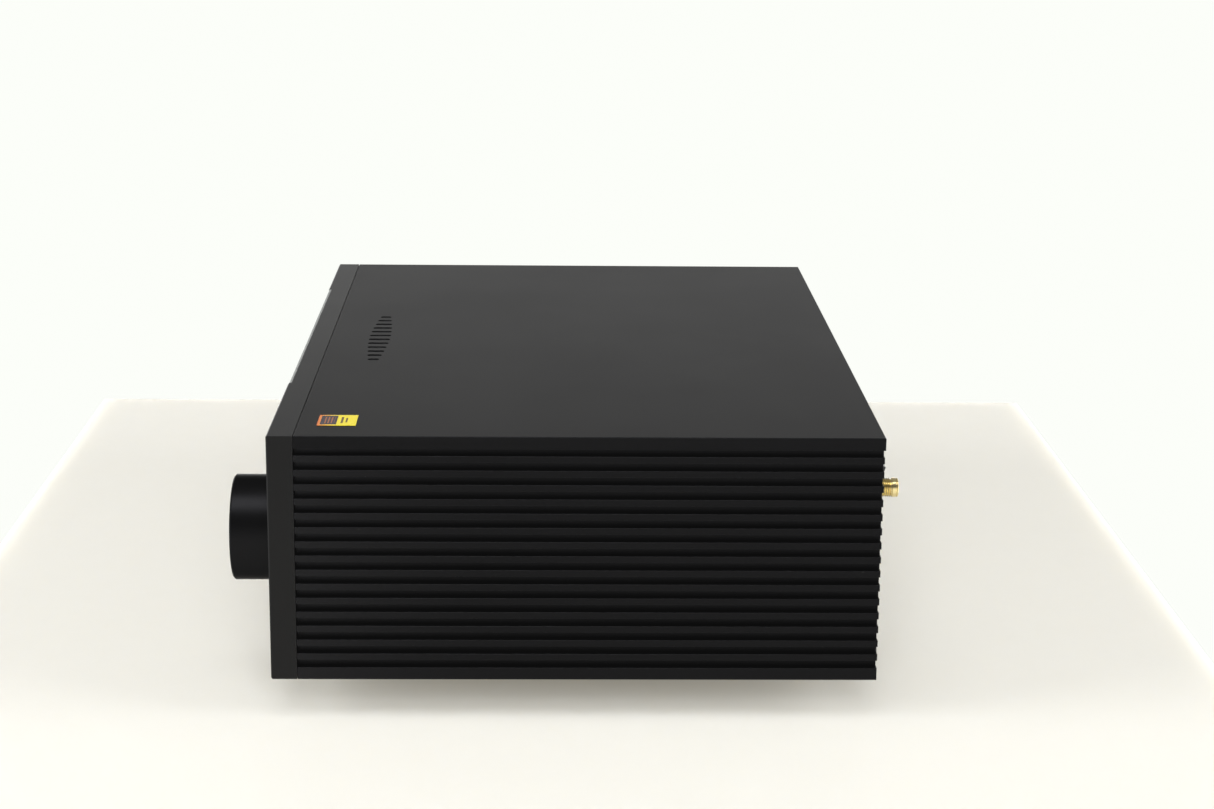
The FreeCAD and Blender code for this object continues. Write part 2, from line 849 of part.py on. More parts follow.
def knob_grub_screw():
    """Grub screw in the knob's boss, against the flat of the shaft."""
    flat = shaft_diameter / 2 - shaft_flat
    length = knob_boss_diameter / 2 - flat
    start = at(knob_x, grub_y(), knob_z - flat)
    socket = hexagon(grub_socket, start + DOWN * length, UP, grub_socket)
    return rod(m3, start, DOWN, length).cut(socket)


def control_board():
    """Small board behind the encoder."""
    return centred(knob_x, knob_z, control_board_width, control_board_height,
                   encoder_back_y, encoder_back_y + board_thickness)


# ---- Boards

def board(left, right, depth):
    plate = block(left, right, board_rear_y - depth, board_rear_y, board_z, board_top_z)
    return plate.cut([screw_hole(at(post.x, post.y, board_z), UP, board_thickness)
                      for post in board_posts(left, right, depth)])


def main_board():
    """Processor board with the header that the display's flat cable plugs into."""
    end_y = board_rear_y - main_board_depth + ribbon_landing
    header = centred(glass_centre_x, board_top_z + header_height / 2, ribbon_width + 2 * header_side,
                     header_height, end_y, end_y + header_depth)
    return joined([board(main_board_left, main_board_right, main_board_depth), header])


def board_posts_group():
    posts = []
    for post in all_posts():
        bar = hexagon(standoff_flats, post, UP, standoff_height)
        posts.append(bar.cut(rod(m3 + 2 * thread_gap, post, UP, standoff_height)))
    return group(posts)


def board_screws():
    """Screws from above into the posts, and from below through the bottom plate."""
    above = [screw(at(post.x, post.y, board_top_z), DOWN, board_thickness + board_screw_grip)
             for post in all_posts()]
    below = [screw(at(post.x, post.y, base_z), UP, bottom_thickness + board_screw_grip)
             for post in all_posts()]
    return group(above + below)


def processor_place():
    return at((main_board_left + main_board_right) / 2, board_rear_y - main_board_depth * processor_share,
              board_top_z)


def main_chips():
    """Processor and memory packages on the main board."""
    place = processor_place()
    chips = [block(place.x - processor_size / 2, place.x + processor_size / 2, place.y - processor_size / 2,
                   place.y + processor_size / 2, board_top_z, board_top_z + chip_height)]
    x = place.x + sink_width / 2 + memory_gap
    for index in range(memory_count):
        y = place.y - memory_first + index * memory_pitch
        chips.append(block(x, x + memory_width, y, y + memory_depth,
                           board_top_z, board_top_z + memory_height))
    return group(chips)


def finned_sink(left, right, front, back, low, base, high, fins, fin):
    """Upright-finned heatsink on a flat base."""
    slab = block(left, right, front, back, low, low + base)
    pitch = (right - left - fin) / (fins - 1)
    blades = [block(left + i * pitch, left + i * pitch + fin, front, back, low + base, high)
              for i in range(fins)]
    return joined([slab] + blades)


def processor_heatsink():
    place = processor_place()
    low = board_top_z + chip_height
    return finned_sink(place.x - sink_width / 2, place.x + sink_width / 2, place.y - sink_depth / 2,
                       place.y + sink_depth / 2, low, sink_base, low + sink_height,
                       sink_fins, sink_fin_thickness)


def audio_chips():
    """Converter and amplifier packages on the audio board."""
    chips = []
    for row in range(audio_chip_rows):
        for column in range(audio_chip_columns):
            x = audio_board_left + audio_chip_from_side + column * audio_chip_spacing
            y = board_rear_y - audio_chip_from_rear - row * audio_chip_row_spacing
            chips.append(block(x, x + audio_chip_size, y, y + audio_chip_size, board_top_z,
                               board_top_z + chip_height))
    return group(chips)


def audio_capacitors():
    """Two rows of upright capacitors at the front of the audio board."""
    cans = []
    for row in range(audio_capacitor_rows):
        for column in range(audio_capacitor_columns):
            x = audio_board_left + audio_capacitor_inset + column * audio_capacitor_spacing
            y = board_rear_y - audio_board_depth + audio_capacitor_inset + row * audio_capacitor_row_spacing
            cans.append(rod(audio_capacitor_diameter, at(x, y, board_top_z), UP, audio_capacitor_height))
    return group(cans)


def power_middle_x():
    return (power_board_left + power_board_right) / 2


def power_transformer():
    """Laminated core round a wound bobbin."""
    x = power_middle_x()
    y = board_rear_y - transformer_from_rear
    core = block(x - transformer_width / 2, x + transformer_width / 2, y - transformer_depth / 2,
                 y + transformer_depth / 2, board_top_z, board_top_z + transformer_height)
    reach = transformer_depth / 2 + winding_reach
    winding = block(x - winding_width / 2, x + winding_width / 2, y - reach, y + reach,
                    board_top_z + winding_inset, board_top_z + transformer_height - winding_inset)
    rounded = winding.makeFillet(winding_rounding, edges_on(winding, lambda p: near(abs(p.y - y), reach)))
    return joined([core, rounded])


def power_capacitors():
    """Two large upright reservoir capacitors."""
    x = power_middle_x()
    y = board_rear_y - power_capacitor_from_rear
    apart = (power_capacitor_diameter + power_capacitor_gap) / 2
    return group([rod(power_capacitor_diameter, at(x + side * apart, y, board_top_z),
                      UP, power_capacitor_height)
                  for side in side_signs()])


def power_heatsink():
    """Heatsink of the rectifier and regulators, at the front of the power board."""
    x = power_middle_x()
    front = board_rear_y - power_board_depth + regulator_sink_from_front
    return finned_sink(x - regulator_sink_width / 2, x + regulator_sink_width / 2, front,
                       front + regulator_sink_depth, board_top_z, sink_base,
                       board_top_z + regulator_sink_height, regulator_sink_fins, regulator_fin_thickness)


def display_ribbon():
    """Flat cable from the display board back and down to the main board."""
    start_y = display_back_y + bracket_sheet + board_thickness + ribbon_plug_depth
    fall_y = start_y + ribbon_fall_back
    end_y = board_rear_y - main_board_depth + ribbon_landing
    high = mid_z
    low = board_top_z + ribbon_rise
    t = ribbon_thickness
    outline = [
        at(0, start_y, high), at(0, start_y, high + t), at(0, fall_y + t, high + t),
        at(0, fall_y + t, low + t), at(0, end_y, low + t), at(0, end_y, low),
        at(0, fall_y, low), at(0, fall_y, high), at(0, start_y, high),
    ]
    strip = Part.Face(Part.makePolygon(outline)).extrude(RIGHT * ribbon_width)
    strip.translate(at(glass_centre_x - ribbon_width / 2, 0, 0))

    def bend_edges(shape, y, z):
        return edges_on(shape, lambda p: near(p.y, y) and near(p.z, z))

    inner = bend_edges(strip, fall_y, high) + bend_edges(strip, fall_y + t, low + t)
    strip = strip.makeFillet(ribbon_bend, inner)
    outer = bend_edges(strip, fall_y + t, high + t) + bend_edges(strip, fall_y, low)
    return strip.makeFillet(ribbon_bend + t, outer)


# ---- Rear sockets

def aerial_socket():
    """Threaded coaxial aerial socket, with a plain lip at its tip and a hexagon inside the panel."""
    z = base_z + aerial_height
    tip = rear_y + aerial_proud
    nut_face = panel_out_y + aerial_nut_thickness
    shank = rod(aerial_shank, at(aerial_x, panel_in_y - aerial_inside, z), BACK,
                nut_face - panel_in_y + aerial_inside)
    barrel = rod(aerial_thread, at(aerial_x, nut_face, z), BACK, tip - aerial_lip - nut_face)
    lip = rod(aerial_lip_diameter, at(aerial_x, tip, z), FORWARD, aerial_lip)
    flange = hexagon(aerial_nut_flats, at(aerial_x, panel_in_y, z), FORWARD, aerial_nut_thickness)
    bore = rod(aerial_bore, at(aerial_x, tip + past, z), FORWARD, past + aerial_bore_depth)
    contact_hole = rod(aerial_contact, at(aerial_x, tip + past, z), FORWARD, past + aerial_contact_depth)
    return joined([shank, barrel, lip, flange]).cut([bore, contact_hole])


def aerial_nut():
    """Nut on the aerial socket, outside the panel."""
    start = at(aerial_x, panel_out_y, base_z + aerial_height)
    nut = hexagon(aerial_nut_flats, start, BACK, aerial_nut_thickness)
    return nut.cut(rod(aerial_shank + 2 * thread_gap, start + FORWARD, BACK,
                       aerial_nut_thickness + 2 * past))


def upper_corner_block(x, z, width, height, corner, y0, y1):
    """The outline of a mains inlet: a rectangle with two cut corners."""
    half = width / 2
    low = z - height / 2
    high = z + height / 2
    outline = [at(x - half, y0, low), at(x + half, y0, low), at(x + half, y0, high - corner),
               at(x + half - corner, y0, high), at(x - half + corner, y0, high),
               at(x - half, y0, high - corner), at(x - half, y0, low)]
    return Part.Face(Part.makePolygon(outline)).extrude(BACK * (y1 - y0))


def mains_inlet():
    """Three-pole mains inlet with its flange outside the panel."""
    z = base_z + inlet_height
    mouth = panel_out_y + inlet_flange_thickness
    body = centred(inlet_x, z, inlet_width, inlet_tall, panel_out_y - inlet_depth, panel_out_y)
    flange = centred(inlet_x, z, inlet_width + 2 * inlet_flange_edge, inlet_tall + 2 * inlet_flange_edge,
                     panel_out_y, mouth)
    corners = [edge for edge in flange.Edges if near(edge.Length, inlet_flange_thickness)]
    flange = flange.makeFillet(inlet_flange_rounding, corners)
    cup = upper_corner_block(inlet_x, z, inlet_width - 2 * inlet_wall, inlet_tall - 2 * inlet_wall,
                             inlet_corner, mouth - inlet_cup_depth, mouth + past)
    return joined([body, flange]).cut(cup)


def inlet_blade_places():
    z = base_z + inlet_height
    return [(inlet_x - blade_spread, z - blade_rise), (inlet_x + blade_spread, z - blade_rise),
            (inlet_x, z + blade_rise)]


def mains_blades():
    """The inlet's three flat contact blades."""
    cup_floor = panel_out_y + inlet_flange_thickness - inlet_cup_depth
    return [centred(x, z, blade_thickness, blade_width, cup_floor, cup_floor + blade_length)
            for x, z in inlet_blade_places()]


def rocker_centre():
    return at(inlet_x, panel_out_y + inlet_flange_thickness - rocker_valley, base_z + rocker_height)


def switch_body():
    """Power switch housing, open at the back for the rocker."""
    z = base_z + rocker_height
    mouth = panel_out_y + inlet_flange_thickness
    body = centred(inlet_x, z, rocker_body_width, rocker_body_tall, panel_out_y - rocker_depth, panel_out_y)
    flange = centred(inlet_x, z, rocker_body_width + 2 * rocker_flange_edge,
                     rocker_body_tall + 2 * rocker_flange_edge, panel_out_y, mouth)
    corners = [edge for edge in flange.Edges if near(edge.Length, inlet_flange_thickness)]
    flange = flange.makeFillet(rocker_flange_rounding, corners)
    well = centred(inlet_x, z, rocker_body_width - 2 * rocker_wall, rocker_body_tall - 2 * rocker_wall,
                   panel_out_y - rocker_depth + rocker_floor, mouth + past)
    centre = rocker_centre()
    pivot_length = rocker_body_width - 2 * rocker_pivot_skin
    pivot = rod(rocker_pin + 2 * shaft_gap, centre - RIGHT * pivot_length / 2, RIGHT, pivot_length)
    return joined([body, flange]).cut([well, pivot])


def power_rocker():
    """Rocker in its off position: the lower half is in and the upper half stands out."""
    centre = rocker_centre()
    width = rocker_body_width - 2 * rocker_wall - 2 * rocker_side_gap
    drum = rod(2 * rocker_radius, centre - RIGHT * width / 2, RIGHT, width)
    slope = math.tan(math.radians(rocker_tilt))
    reach = rocker_radius + 2 * past
    rise = rocker_valley + reach * slope
    outline = [at(0, rocker_valley, 0), at(0, rise, reach), at(0, rise + reach, reach),
               at(0, rise + reach, -reach), at(0, rise, -reach), at(0, rocker_valley, 0)]
    hollow = Part.Face(Part.makePolygon(outline)).extrude(RIGHT * (width + 2 * past))
    hollow.translate(centre - RIGHT * (width / 2 + past))
    below = centred(centre.x, centre.z, width + 2 * past, 4 * rocker_radius, centre.y - 2 * rocker_radius,
                    centre.y - rocker_back_cut)
    pin_length = rocker_body_width - 2 * rocker_pin_short
    pin = rod(rocker_pin, centre - RIGHT * pin_length / 2, RIGHT, pin_length)
    rocker = joined([drum.cut([hollow, below]), pin])
    rocker.rotate(centre, RIGHT, -rocker_tilt)
    return rocker


def lan_socket():
    """Network socket on the main board, with a notch for the plug's latch."""
    z = board_top_z + lan_tall / 2
    mouth = panel_out_y + socket_proud
    shell = centred(lan_x, z, lan_width, lan_tall, mouth - lan_depth, mouth)
    cup = centred(lan_x, z, lan_cup_width, lan_cup_tall, mouth - lan_cup_depth, mouth + past)
    notch = block(lan_x - lan_notch_width / 2, lan_x + lan_notch_width / 2, mouth - lan_cup_depth,
                  mouth + past, z - lan_cup_tall / 2 - lan_notch_depth, z)
    return shell.cut([cup, notch])


def usb_sockets():
    """Two stacked sockets in one shell, each with its contact tongue."""
    mouth = panel_out_y + socket_proud
    shell = centred(usb_x, board_top_z + usb_tall / 2, usb_width, usb_tall, mouth - usb_depth, mouth)
    for share in (usb_slot_share, 1 - usb_slot_share):
        z = board_top_z + usb_tall * share
        slot = centred(usb_x, z, usb_slot_width, usb_slot_tall, mouth - usb_slot_depth, mouth + past)
        tongue = centred(usb_x, z + usb_tongue_rise, usb_slot_width - 2 * usb_tongue_side, usb_tongue,
                         mouth - usb_slot_depth, mouth - usb_tongue_short)
        shell = shell.cut(slot.cut(tongue))
    return shell


def optical_middle_z():
    return board_top_z + optical_tall / 2


def shutter_axis(x):
    """Middle of a shutter's hinge line."""
    mouth = panel_out_y + socket_proud
    return at(x, mouth - shutter_set_in,
              optical_middle_z() + optical_mouth / 2 - shutter_barrel / 2 - fit_gap)


def optical_housing(x):
    """Optical socket with a square mouth and hinge holes for its shutter."""
    mouth = panel_out_y + socket_proud
    shell = centred(x, optical_middle_z(), optical_width, optical_tall, mouth - optical_depth, mouth)
    hollow = centred(x, optical_middle_z(), optical_mouth, optical_mouth,
                     mouth - optical_depth + optical_wall_back, mouth + past)
    pin_length = optical_mouth + 2 * (shutter_pin_reach + fit_gap)
    hinge = rod(shutter_pin + 2 * shaft_gap, shutter_axis(x) - RIGHT * pin_length / 2, RIGHT, pin_length)
    return shell.cut([hollow, hinge])


def optical_shutter(x):
    """Sprung flap that closes an optical socket."""
    axis = shutter_axis(x)
    width = optical_mouth - 2 * shutter_gap
    low = optical_middle_z() - optical_mouth / 2 + shutter_gap
    barrel = rod(shutter_barrel, axis - RIGHT * width / 2, RIGHT, width)
    flap = block(x - width / 2, x + width / 2, axis.y - shutter_thickness / 2, axis.y + shutter_thickness / 2,
                 low, axis.z)
    pin_length = optical_mouth + 2 * shutter_pin_reach
    pin = rod(shutter_pin, axis - RIGHT * pin_length / 2, RIGHT, pin_length)
    return joined([barrel, flap, pin])


def rca_shell(x, z):
    """Plated outer contact of a round audio socket, with its collar against the panel."""
    back = panel_in_y - rca_behind
    tube = rod(rca_diameter, at(x, back, z), BACK, panel_out_y + rca_proud - back)
    collar = rod(rca_collar_diameter, at(x, panel_out_y, z), BACK, rca_collar_thickness)
    inside = rod(rca_diameter - 2 * rca_wall, at(x, back - past, z), BACK,
                 rca_behind + rear_thickness + rca_proud + 2 * past)
    return joined([tube, collar]).cut(inside)


def rca_insulator(x, z):
    """Moulded body of a round audio socket: a block behind the panel and a core inside the shell."""
    back = panel_in_y - rca_behind
    body = centred(x, z, rca_block, rca_block, back - rca_block_depth, back)
    core = rod(rca_diameter - 2 * rca_wall - fit_gap, at(x, back, z), BACK,
               panel_out_y + rca_proud - rca_core_short - back)
    bore = rod(rca_pin_bore, at(x, back - rca_bore_in, z), BACK,
               rca_bore_in + rca_behind + rear_thickness + rca_proud)
    return joined([body, core]).cut(bore)


def xlr_screw_seats():
    """Seats of the two screws of each three-pin socket, at opposite corners of its flange."""
    y = panel_out_y + xlr_flange_thickness
    return [at(x + side * xlr_screw_x, y, base_z + xlr_height + side * xlr_screw_z)
            for x in xlr_places.values() for side in side_signs()]


def xlr_housing(x):
    """Three-pin audio socket: a flange outside the panel and a barrel with a round cup."""
    z = base_z + xlr_height
    mouth = panel_out_y + xlr_flange_thickness
    flange = centred(x, z, xlr_flange_width, xlr_flange_tall, panel_out_y, mouth)
    corners = [edge for edge in flange.Edges if near(edge.Length, xlr_flange_thickness)]
    flange = flange.makeFillet(xlr_corner, corners)
    barrel = rod(xlr_barrel, at(x, panel_out_y, z), FORWARD, xlr_barrel_depth)
    cup = rod(xlr_cup, at(x, mouth + past, z), FORWARD, past + xlr_cup_depth)
    holes = [screw_hole(seat, FORWARD, xlr_flange_thickness) for seat in xlr_screw_seats()]
    return joined([flange, barrel]).cut([cup] + holes)


def xlr_pins(x):
    """The three round pins of one socket, set in a triangle."""
    floor = panel_out_y + xlr_flange_thickness - xlr_cup_depth
    pins = []
    for index in range(3):
        angle = math.radians(-90 + index * 90)
        centre = at(x + xlr_pin_circle * math.sin(angle), floor, base_z + xlr_height
                    - xlr_pin_circle * math.cos(angle))
        pins.append(rod(xlr_pin_diameter, centre, BACK, xlr_pin_length))
    return pins


def contact_pins():
    """Every bare contact pin on the back: the mains blades and the round pins."""
    pins = mains_blades()
    for x in xlr_places.values():
        pins += xlr_pins(x)
    return group(pins)


def build():
    os.makedirs("parts", exist_ok=True)
    save("front_panel", front_panel())
    save("front_glass", front_glass())
    save("top_plate", top_plate())
    save("top_label", top_label())
    save("left_side_panel", side_panel(-1))
    save("right_side_panel", side_panel(1))
    save("bottom_plate", bottom_plate())
    save("rear_panel", rear_panel())
    save("left_front_bracket", front_bracket(-1))
    save("right_front_bracket", front_bracket(1))
    save("case_screws", case_screws())
    for name, centre in foot_centres().items():
        save("foot_" + name, foot(centre))
        save("pad_" + name, foot_pad(centre))
    save("foot_screws", foot_screws())
    save("display_module", display_module())
    save("display_bracket", display_bracket())
    save("display_board", display_board())
    save("encoder_body", encoder_body())
    save("encoder_nut", encoder_nut())
    save("encoder_shaft", encoder_shaft())
    save("push_plunger", push_plunger())
    save("volume_knob", volume_knob())
    save("knob_grub_screw", knob_grub_screw())
    save("control_board", control_board())
    save("main_board", main_board())
    save("audio_board", board(audio_board_left, audio_board_right, audio_board_depth))
    save("power_board", board(power_board_left, power_board_right, power_board_depth))
    save("board_posts", board_posts_group())
    save("board_screws", board_screws())
    save("main_chips", main_chips())
    save("processor_heatsink", processor_heatsink())
    save("audio_chips", audio_chips())
    save("audio_capacitors", audio_capacitors())
    save("power_transformer", power_transformer())
    save("power_capacitors", power_capacitors())
    save("power_heatsink", power_heatsink())
    save("display_ribbon", display_ribbon())
    save("aerial_socket", aerial_socket())
    save("aerial_nut", aerial_nut())
    save("mains_inlet", mains_inlet())
    save("switch_body", switch_body())
    save("power_rocker", power_rocker())
    save("lan_socket", lan_socket())
    save("usb_sockets", usb_sockets())
    for name, x in optical_places.items():
        save(name + "_socket", optical_housing(x))
        save(name + "_shutter", optical_shutter(x))
    for name, places in rca_places().items():
        save(name, group([rca_shell(x, z) for x, z in places]))
    save("rca_insulators", group([rca_insulator(x, z)
                                  for places in rca_places().values() for x, z in places]))
    for name, x in xlr_places.items():
        save(name + "_socket", xlr_housing(x))
    save("contact_pins", contact_pins())


build()
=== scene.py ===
import math

import bmesh
import bpy
from mathutils import Matrix, Vector


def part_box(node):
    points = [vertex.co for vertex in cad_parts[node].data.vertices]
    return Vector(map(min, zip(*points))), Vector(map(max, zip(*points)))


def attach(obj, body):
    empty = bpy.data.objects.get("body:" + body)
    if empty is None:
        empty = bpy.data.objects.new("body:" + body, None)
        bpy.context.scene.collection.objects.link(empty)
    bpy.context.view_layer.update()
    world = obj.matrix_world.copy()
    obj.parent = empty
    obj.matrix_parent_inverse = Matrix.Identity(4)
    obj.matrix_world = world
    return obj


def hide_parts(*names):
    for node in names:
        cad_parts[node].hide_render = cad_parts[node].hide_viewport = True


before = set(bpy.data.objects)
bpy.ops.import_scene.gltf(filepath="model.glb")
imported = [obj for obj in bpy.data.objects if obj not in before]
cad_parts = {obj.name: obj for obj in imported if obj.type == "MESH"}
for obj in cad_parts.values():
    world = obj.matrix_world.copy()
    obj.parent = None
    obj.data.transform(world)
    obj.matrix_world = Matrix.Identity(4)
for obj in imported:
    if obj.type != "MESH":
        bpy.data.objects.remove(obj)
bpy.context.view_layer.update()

# The looks of a compact black network audio player: satin anodised metal, dark glass, gold sockets.
# +X is to the right seen from the front, +Y to the back and +Z up. Lengths are in metres.
# MM turns millimetres into metres, and IN_MM turns metres into millimetres.

MM = 0.001
IN_MM = 1000

# ---- Camera
CAMERA_AT = (0.8458, -0.0081, 0.2809)
CAMERA_TOWARDS = (0.0, 0.0138, 0.0659)
CAMERA_ROLL = math.radians(0.62)
CAMERA_LENS = 72.54
SENSOR_WIDTH = 36.0
NEAREST_SEEN = 0.05
FARTHEST_SEEN = 20.0

# ---- Studio
TABLE_FAR = -0.268
TABLE_NEAR = 0.62
TABLE_LEFT = -0.2145
TABLE_RIGHT = 0.2145
TABLE_THICKNESS = 0.02
TABLE_EDGE = 0.002
TABLE_COLOUR = (0.44, 0.437, 0.414)
TABLE_LIGHT = (1.0, 0.93, 0.76, 1.0)
TABLE_GLOW = 0.195
TABLE_DEPTH_SEEN = 0.025
BACKDROP = (0.972, 0.990, 0.945)
SKY_COLOUR = (1.0, 1.0, 0.985)
SKY_LOW = 1.85
SKY_ABOVE = 0.27
SKY_IN_FRONT = 0.40
VEIL = 0.0038

# ---- Metal finish
GRAIN = 0.18 * MM
EDGE_RADIUS = 0.25 * MM
FINE_EDGE = 0.1 * MM
MOULDED_EDGE = 0.12 * MM
CASE_GRAZING = 0.62
KNOB_GRAZING = 0.5
# Edges are painted up to this many times paler: partly rubbed wear, partly a painted highlight.
RUBBED_AND_HIGHLIT_EDGE = 3.2
# Painted light on the fins: full at the first Y, fading to nothing at the second, standing in for light that
# falls on the front end.
FRONT_LIGHT_END = -0.086
FRONT_LIGHT_START = -0.02
DUST_SPACING = 11 * MM
DUST_RADIUS = 0.22 * MM
DUST_SHARE = 0.5
KNOB_RINGS = 0.16 * MM
FOOT_RINGS = 0.3 * MM
LAMINATION = 0.7 * MM

# ---- Colours
SATIN_BLACK = (0.0105, 0.0105, 0.0115)
PANEL_BLACK = (0.0200, 0.0200, 0.0205)
KNOB_BLACK = (0.0118, 0.0118, 0.0128)
POWDER_BLACK = (0.0110, 0.0110, 0.0112)
PLASTIC_BLACK = (0.0100, 0.0100, 0.0105)
SINK_BLACK = (0.02, 0.02, 0.0205)
FOOT_BLACK = (0.018, 0.018, 0.0185)
RUBBER_BLACK = (0.018, 0.018, 0.018)
RESIN_BLACK = (0.012, 0.012, 0.013)
SCREW_BLACK = (0.045, 0.045, 0.048)
GOLD = (1.0, 0.84, 0.44)
NICKEL = (0.62, 0.60, 0.56)
ZINC = (0.52, 0.53, 0.53)
BRASS = (0.62, 0.44, 0.18)
DUST = (0.16, 0.16, 0.15)
GLASS_BACKING = (0.0035, 0.0035, 0.004)
SCREEN = (0.0062, 0.0066, 0.0078)
GLASS_EDGE = (0.20, 0.21, 0.20)
WHITE = (0.62, 0.62, 0.60)
CONNECTOR_RED = (0.42, 0.012, 0.012)
CONNECTOR_BLUE = (0.012, 0.10, 0.36)
LAMP_GREEN = (0.10, 0.30, 0.06)
INSULATOR_WHITE = (0.72, 0.71, 0.68)
PALE_PLASTIC = (0.60, 0.60, 0.57)
SOLDER_MASK = (0.006, 0.045, 0.020)
TRACKS = (0.015, 0.085, 0.040)
VARNISHED_STEEL = (0.10, 0.085, 0.07)
SLEEVE_BLUE = (0.012, 0.018, 0.05)
SLEEVE_STRIPE = (0.42, 0.43, 0.44)
CAN_TOP = (0.55, 0.55, 0.56)
LABEL_ORANGE = (0.42, 0.110, 0.032)
LABEL_YELLOW = (0.54, 0.45, 0.028)
LABEL_PANEL = (0.028, 0.022, 0.028)
LABEL_LINES = (0.22, 0.08, 0.035)
LABEL_BARS = (0.10, 0.07, 0.02)

# ---- Aerial socket
SHANK_RADIUS = 2.9 * MM
NECK_RADIUS = 2.76 * MM
THREAD_ROOT = 2.70 * MM
THREAD_CREST = 3.17 * MM
THREAD_PITCH = 25.4 / 36 * MM
THREAD_STEPS = 48
LIP_LENGTH = 2.1 * MM
HEAD_RADIUS = 4.5 * MM
HEAD_DEPTH = 2.2 * MM

# ---- Network socket
WIRE_COUNT = 8
WIRE_PITCH = 1.02 * MM
WIRE_SIZE = (0.42 * MM, 9.0 * MM, 0.3 * MM)
WIRE_EDGE = 0.08 * MM
WIRE_TILT = -0.2
WIRE_BACK = 7.2 * MM
WIRE_RISE = 2.35 * MM
LAMP_SIZE = (2.6 * MM, 0.3 * MM, 1.5 * MM)
LAMP_EDGE = 0.1 * MM
LAMP_OUT = 5.2 * MM
LAMP_RISE = 5.3 * MM


# ---- Small helpers for meshes

def centre_of(node):
    low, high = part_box(node)
    return (Vector(low) + Vector(high)) / 2


def size_of(node):
    low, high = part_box(node)
    return Vector(high) - Vector(low)


def as_object(name, shape, finish):
    """Turns a bmesh into an object with its material."""
    bmesh.ops.recalc_face_normals(shape, faces=shape.faces)
    mesh = bpy.data.meshes.new(name)
    shape.to_mesh(mesh)
    shape.free()
    mesh.materials.append(finish)
    made = bpy.data.objects.new(name, mesh)
    bpy.context.collection.objects.link(made)
    return made


def finished(name, shape, finish, body):
    """Turns a bmesh into a smooth piece with its material, riding on a body."""
    bmesh.ops.remove_doubles(shape, verts=shape.verts, dist=1e-6)
    piece = as_object(name, shape, finish)
    piece.data.shade_smooth()
    piece.data.set_sharp_from_angle(angle=math.radians(35))
    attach(piece, body)
    return piece


def outline(start, rim, *corners):
    """Points of an outline, from pairs in millimetres: distance past a start, and radius beyond a rim."""
    return [(start + distance * MM, rim + radius * MM) for distance, radius in corners]


def turned(shape, profile, centre, steps, along="Y", closed=False):
    """Spins an outline of (distance along the axis, radius) pairs round an axis through centre."""
    axis = Vector((0, 1, 0)) if along == "Y" else Vector((0, 0, 1))
    ring = [shape.verts.new(centre + axis * distance + Vector((radius, 0, 0)))
            for distance, radius in profile]
    edges = [shape.edges.new(pair) for pair in zip(ring, ring[1:])]
    if closed:
        edges.append(shape.edges.new((ring[-1], ring[0])))
    bmesh.ops.spin(shape, geom=ring + edges, cent=centre, axis=axis, angle=2 * math.pi,
                   steps=steps, use_merge=True)


def thread(shape, start, root, crest, pitch, turns):
    """Winds a V-shaped ridge along +Y from a start point on the axis."""
    ridge = [(-0.5, root), (0.0, crest), (0.5, root)]
    corners = [shape.verts.new(start + Vector((radius, pitch * share, 0))) for share, radius in ridge]
    edges = [shape.edges.new((corners[i], corners[(i + 1) % 3])) for i in range(3)]
    bmesh.ops.spin(shape, geom=corners + edges, cent=start, axis=(0, 1, 0),
                   dvec=(0, pitch / THREAD_STEPS, 0), angle=2 * math.pi * turns,
                   steps=int(THREAD_STEPS * turns), use_merge=False)
    bmesh.ops.holes_fill(shape, edges=[edge for edge in shape.edges if edge.is_boundary], sides=3)


def bar(shape, centre, size, round_by):
    """A block with softened edges."""
    place = Matrix.Translation(centre) @ Matrix.Diagonal((*size, 1.0))
    made = bmesh.ops.create_cube(shape, size=1.0, matrix=place)
    edges = {edge for vert in made["verts"] for edge in vert.link_edges}
    bmesh.ops.bevel(shape, geom=list(edges), offset=round_by, segments=3, profile=0.5, affect="EDGES",
                    material=-1)


# ---- Small helpers for materials

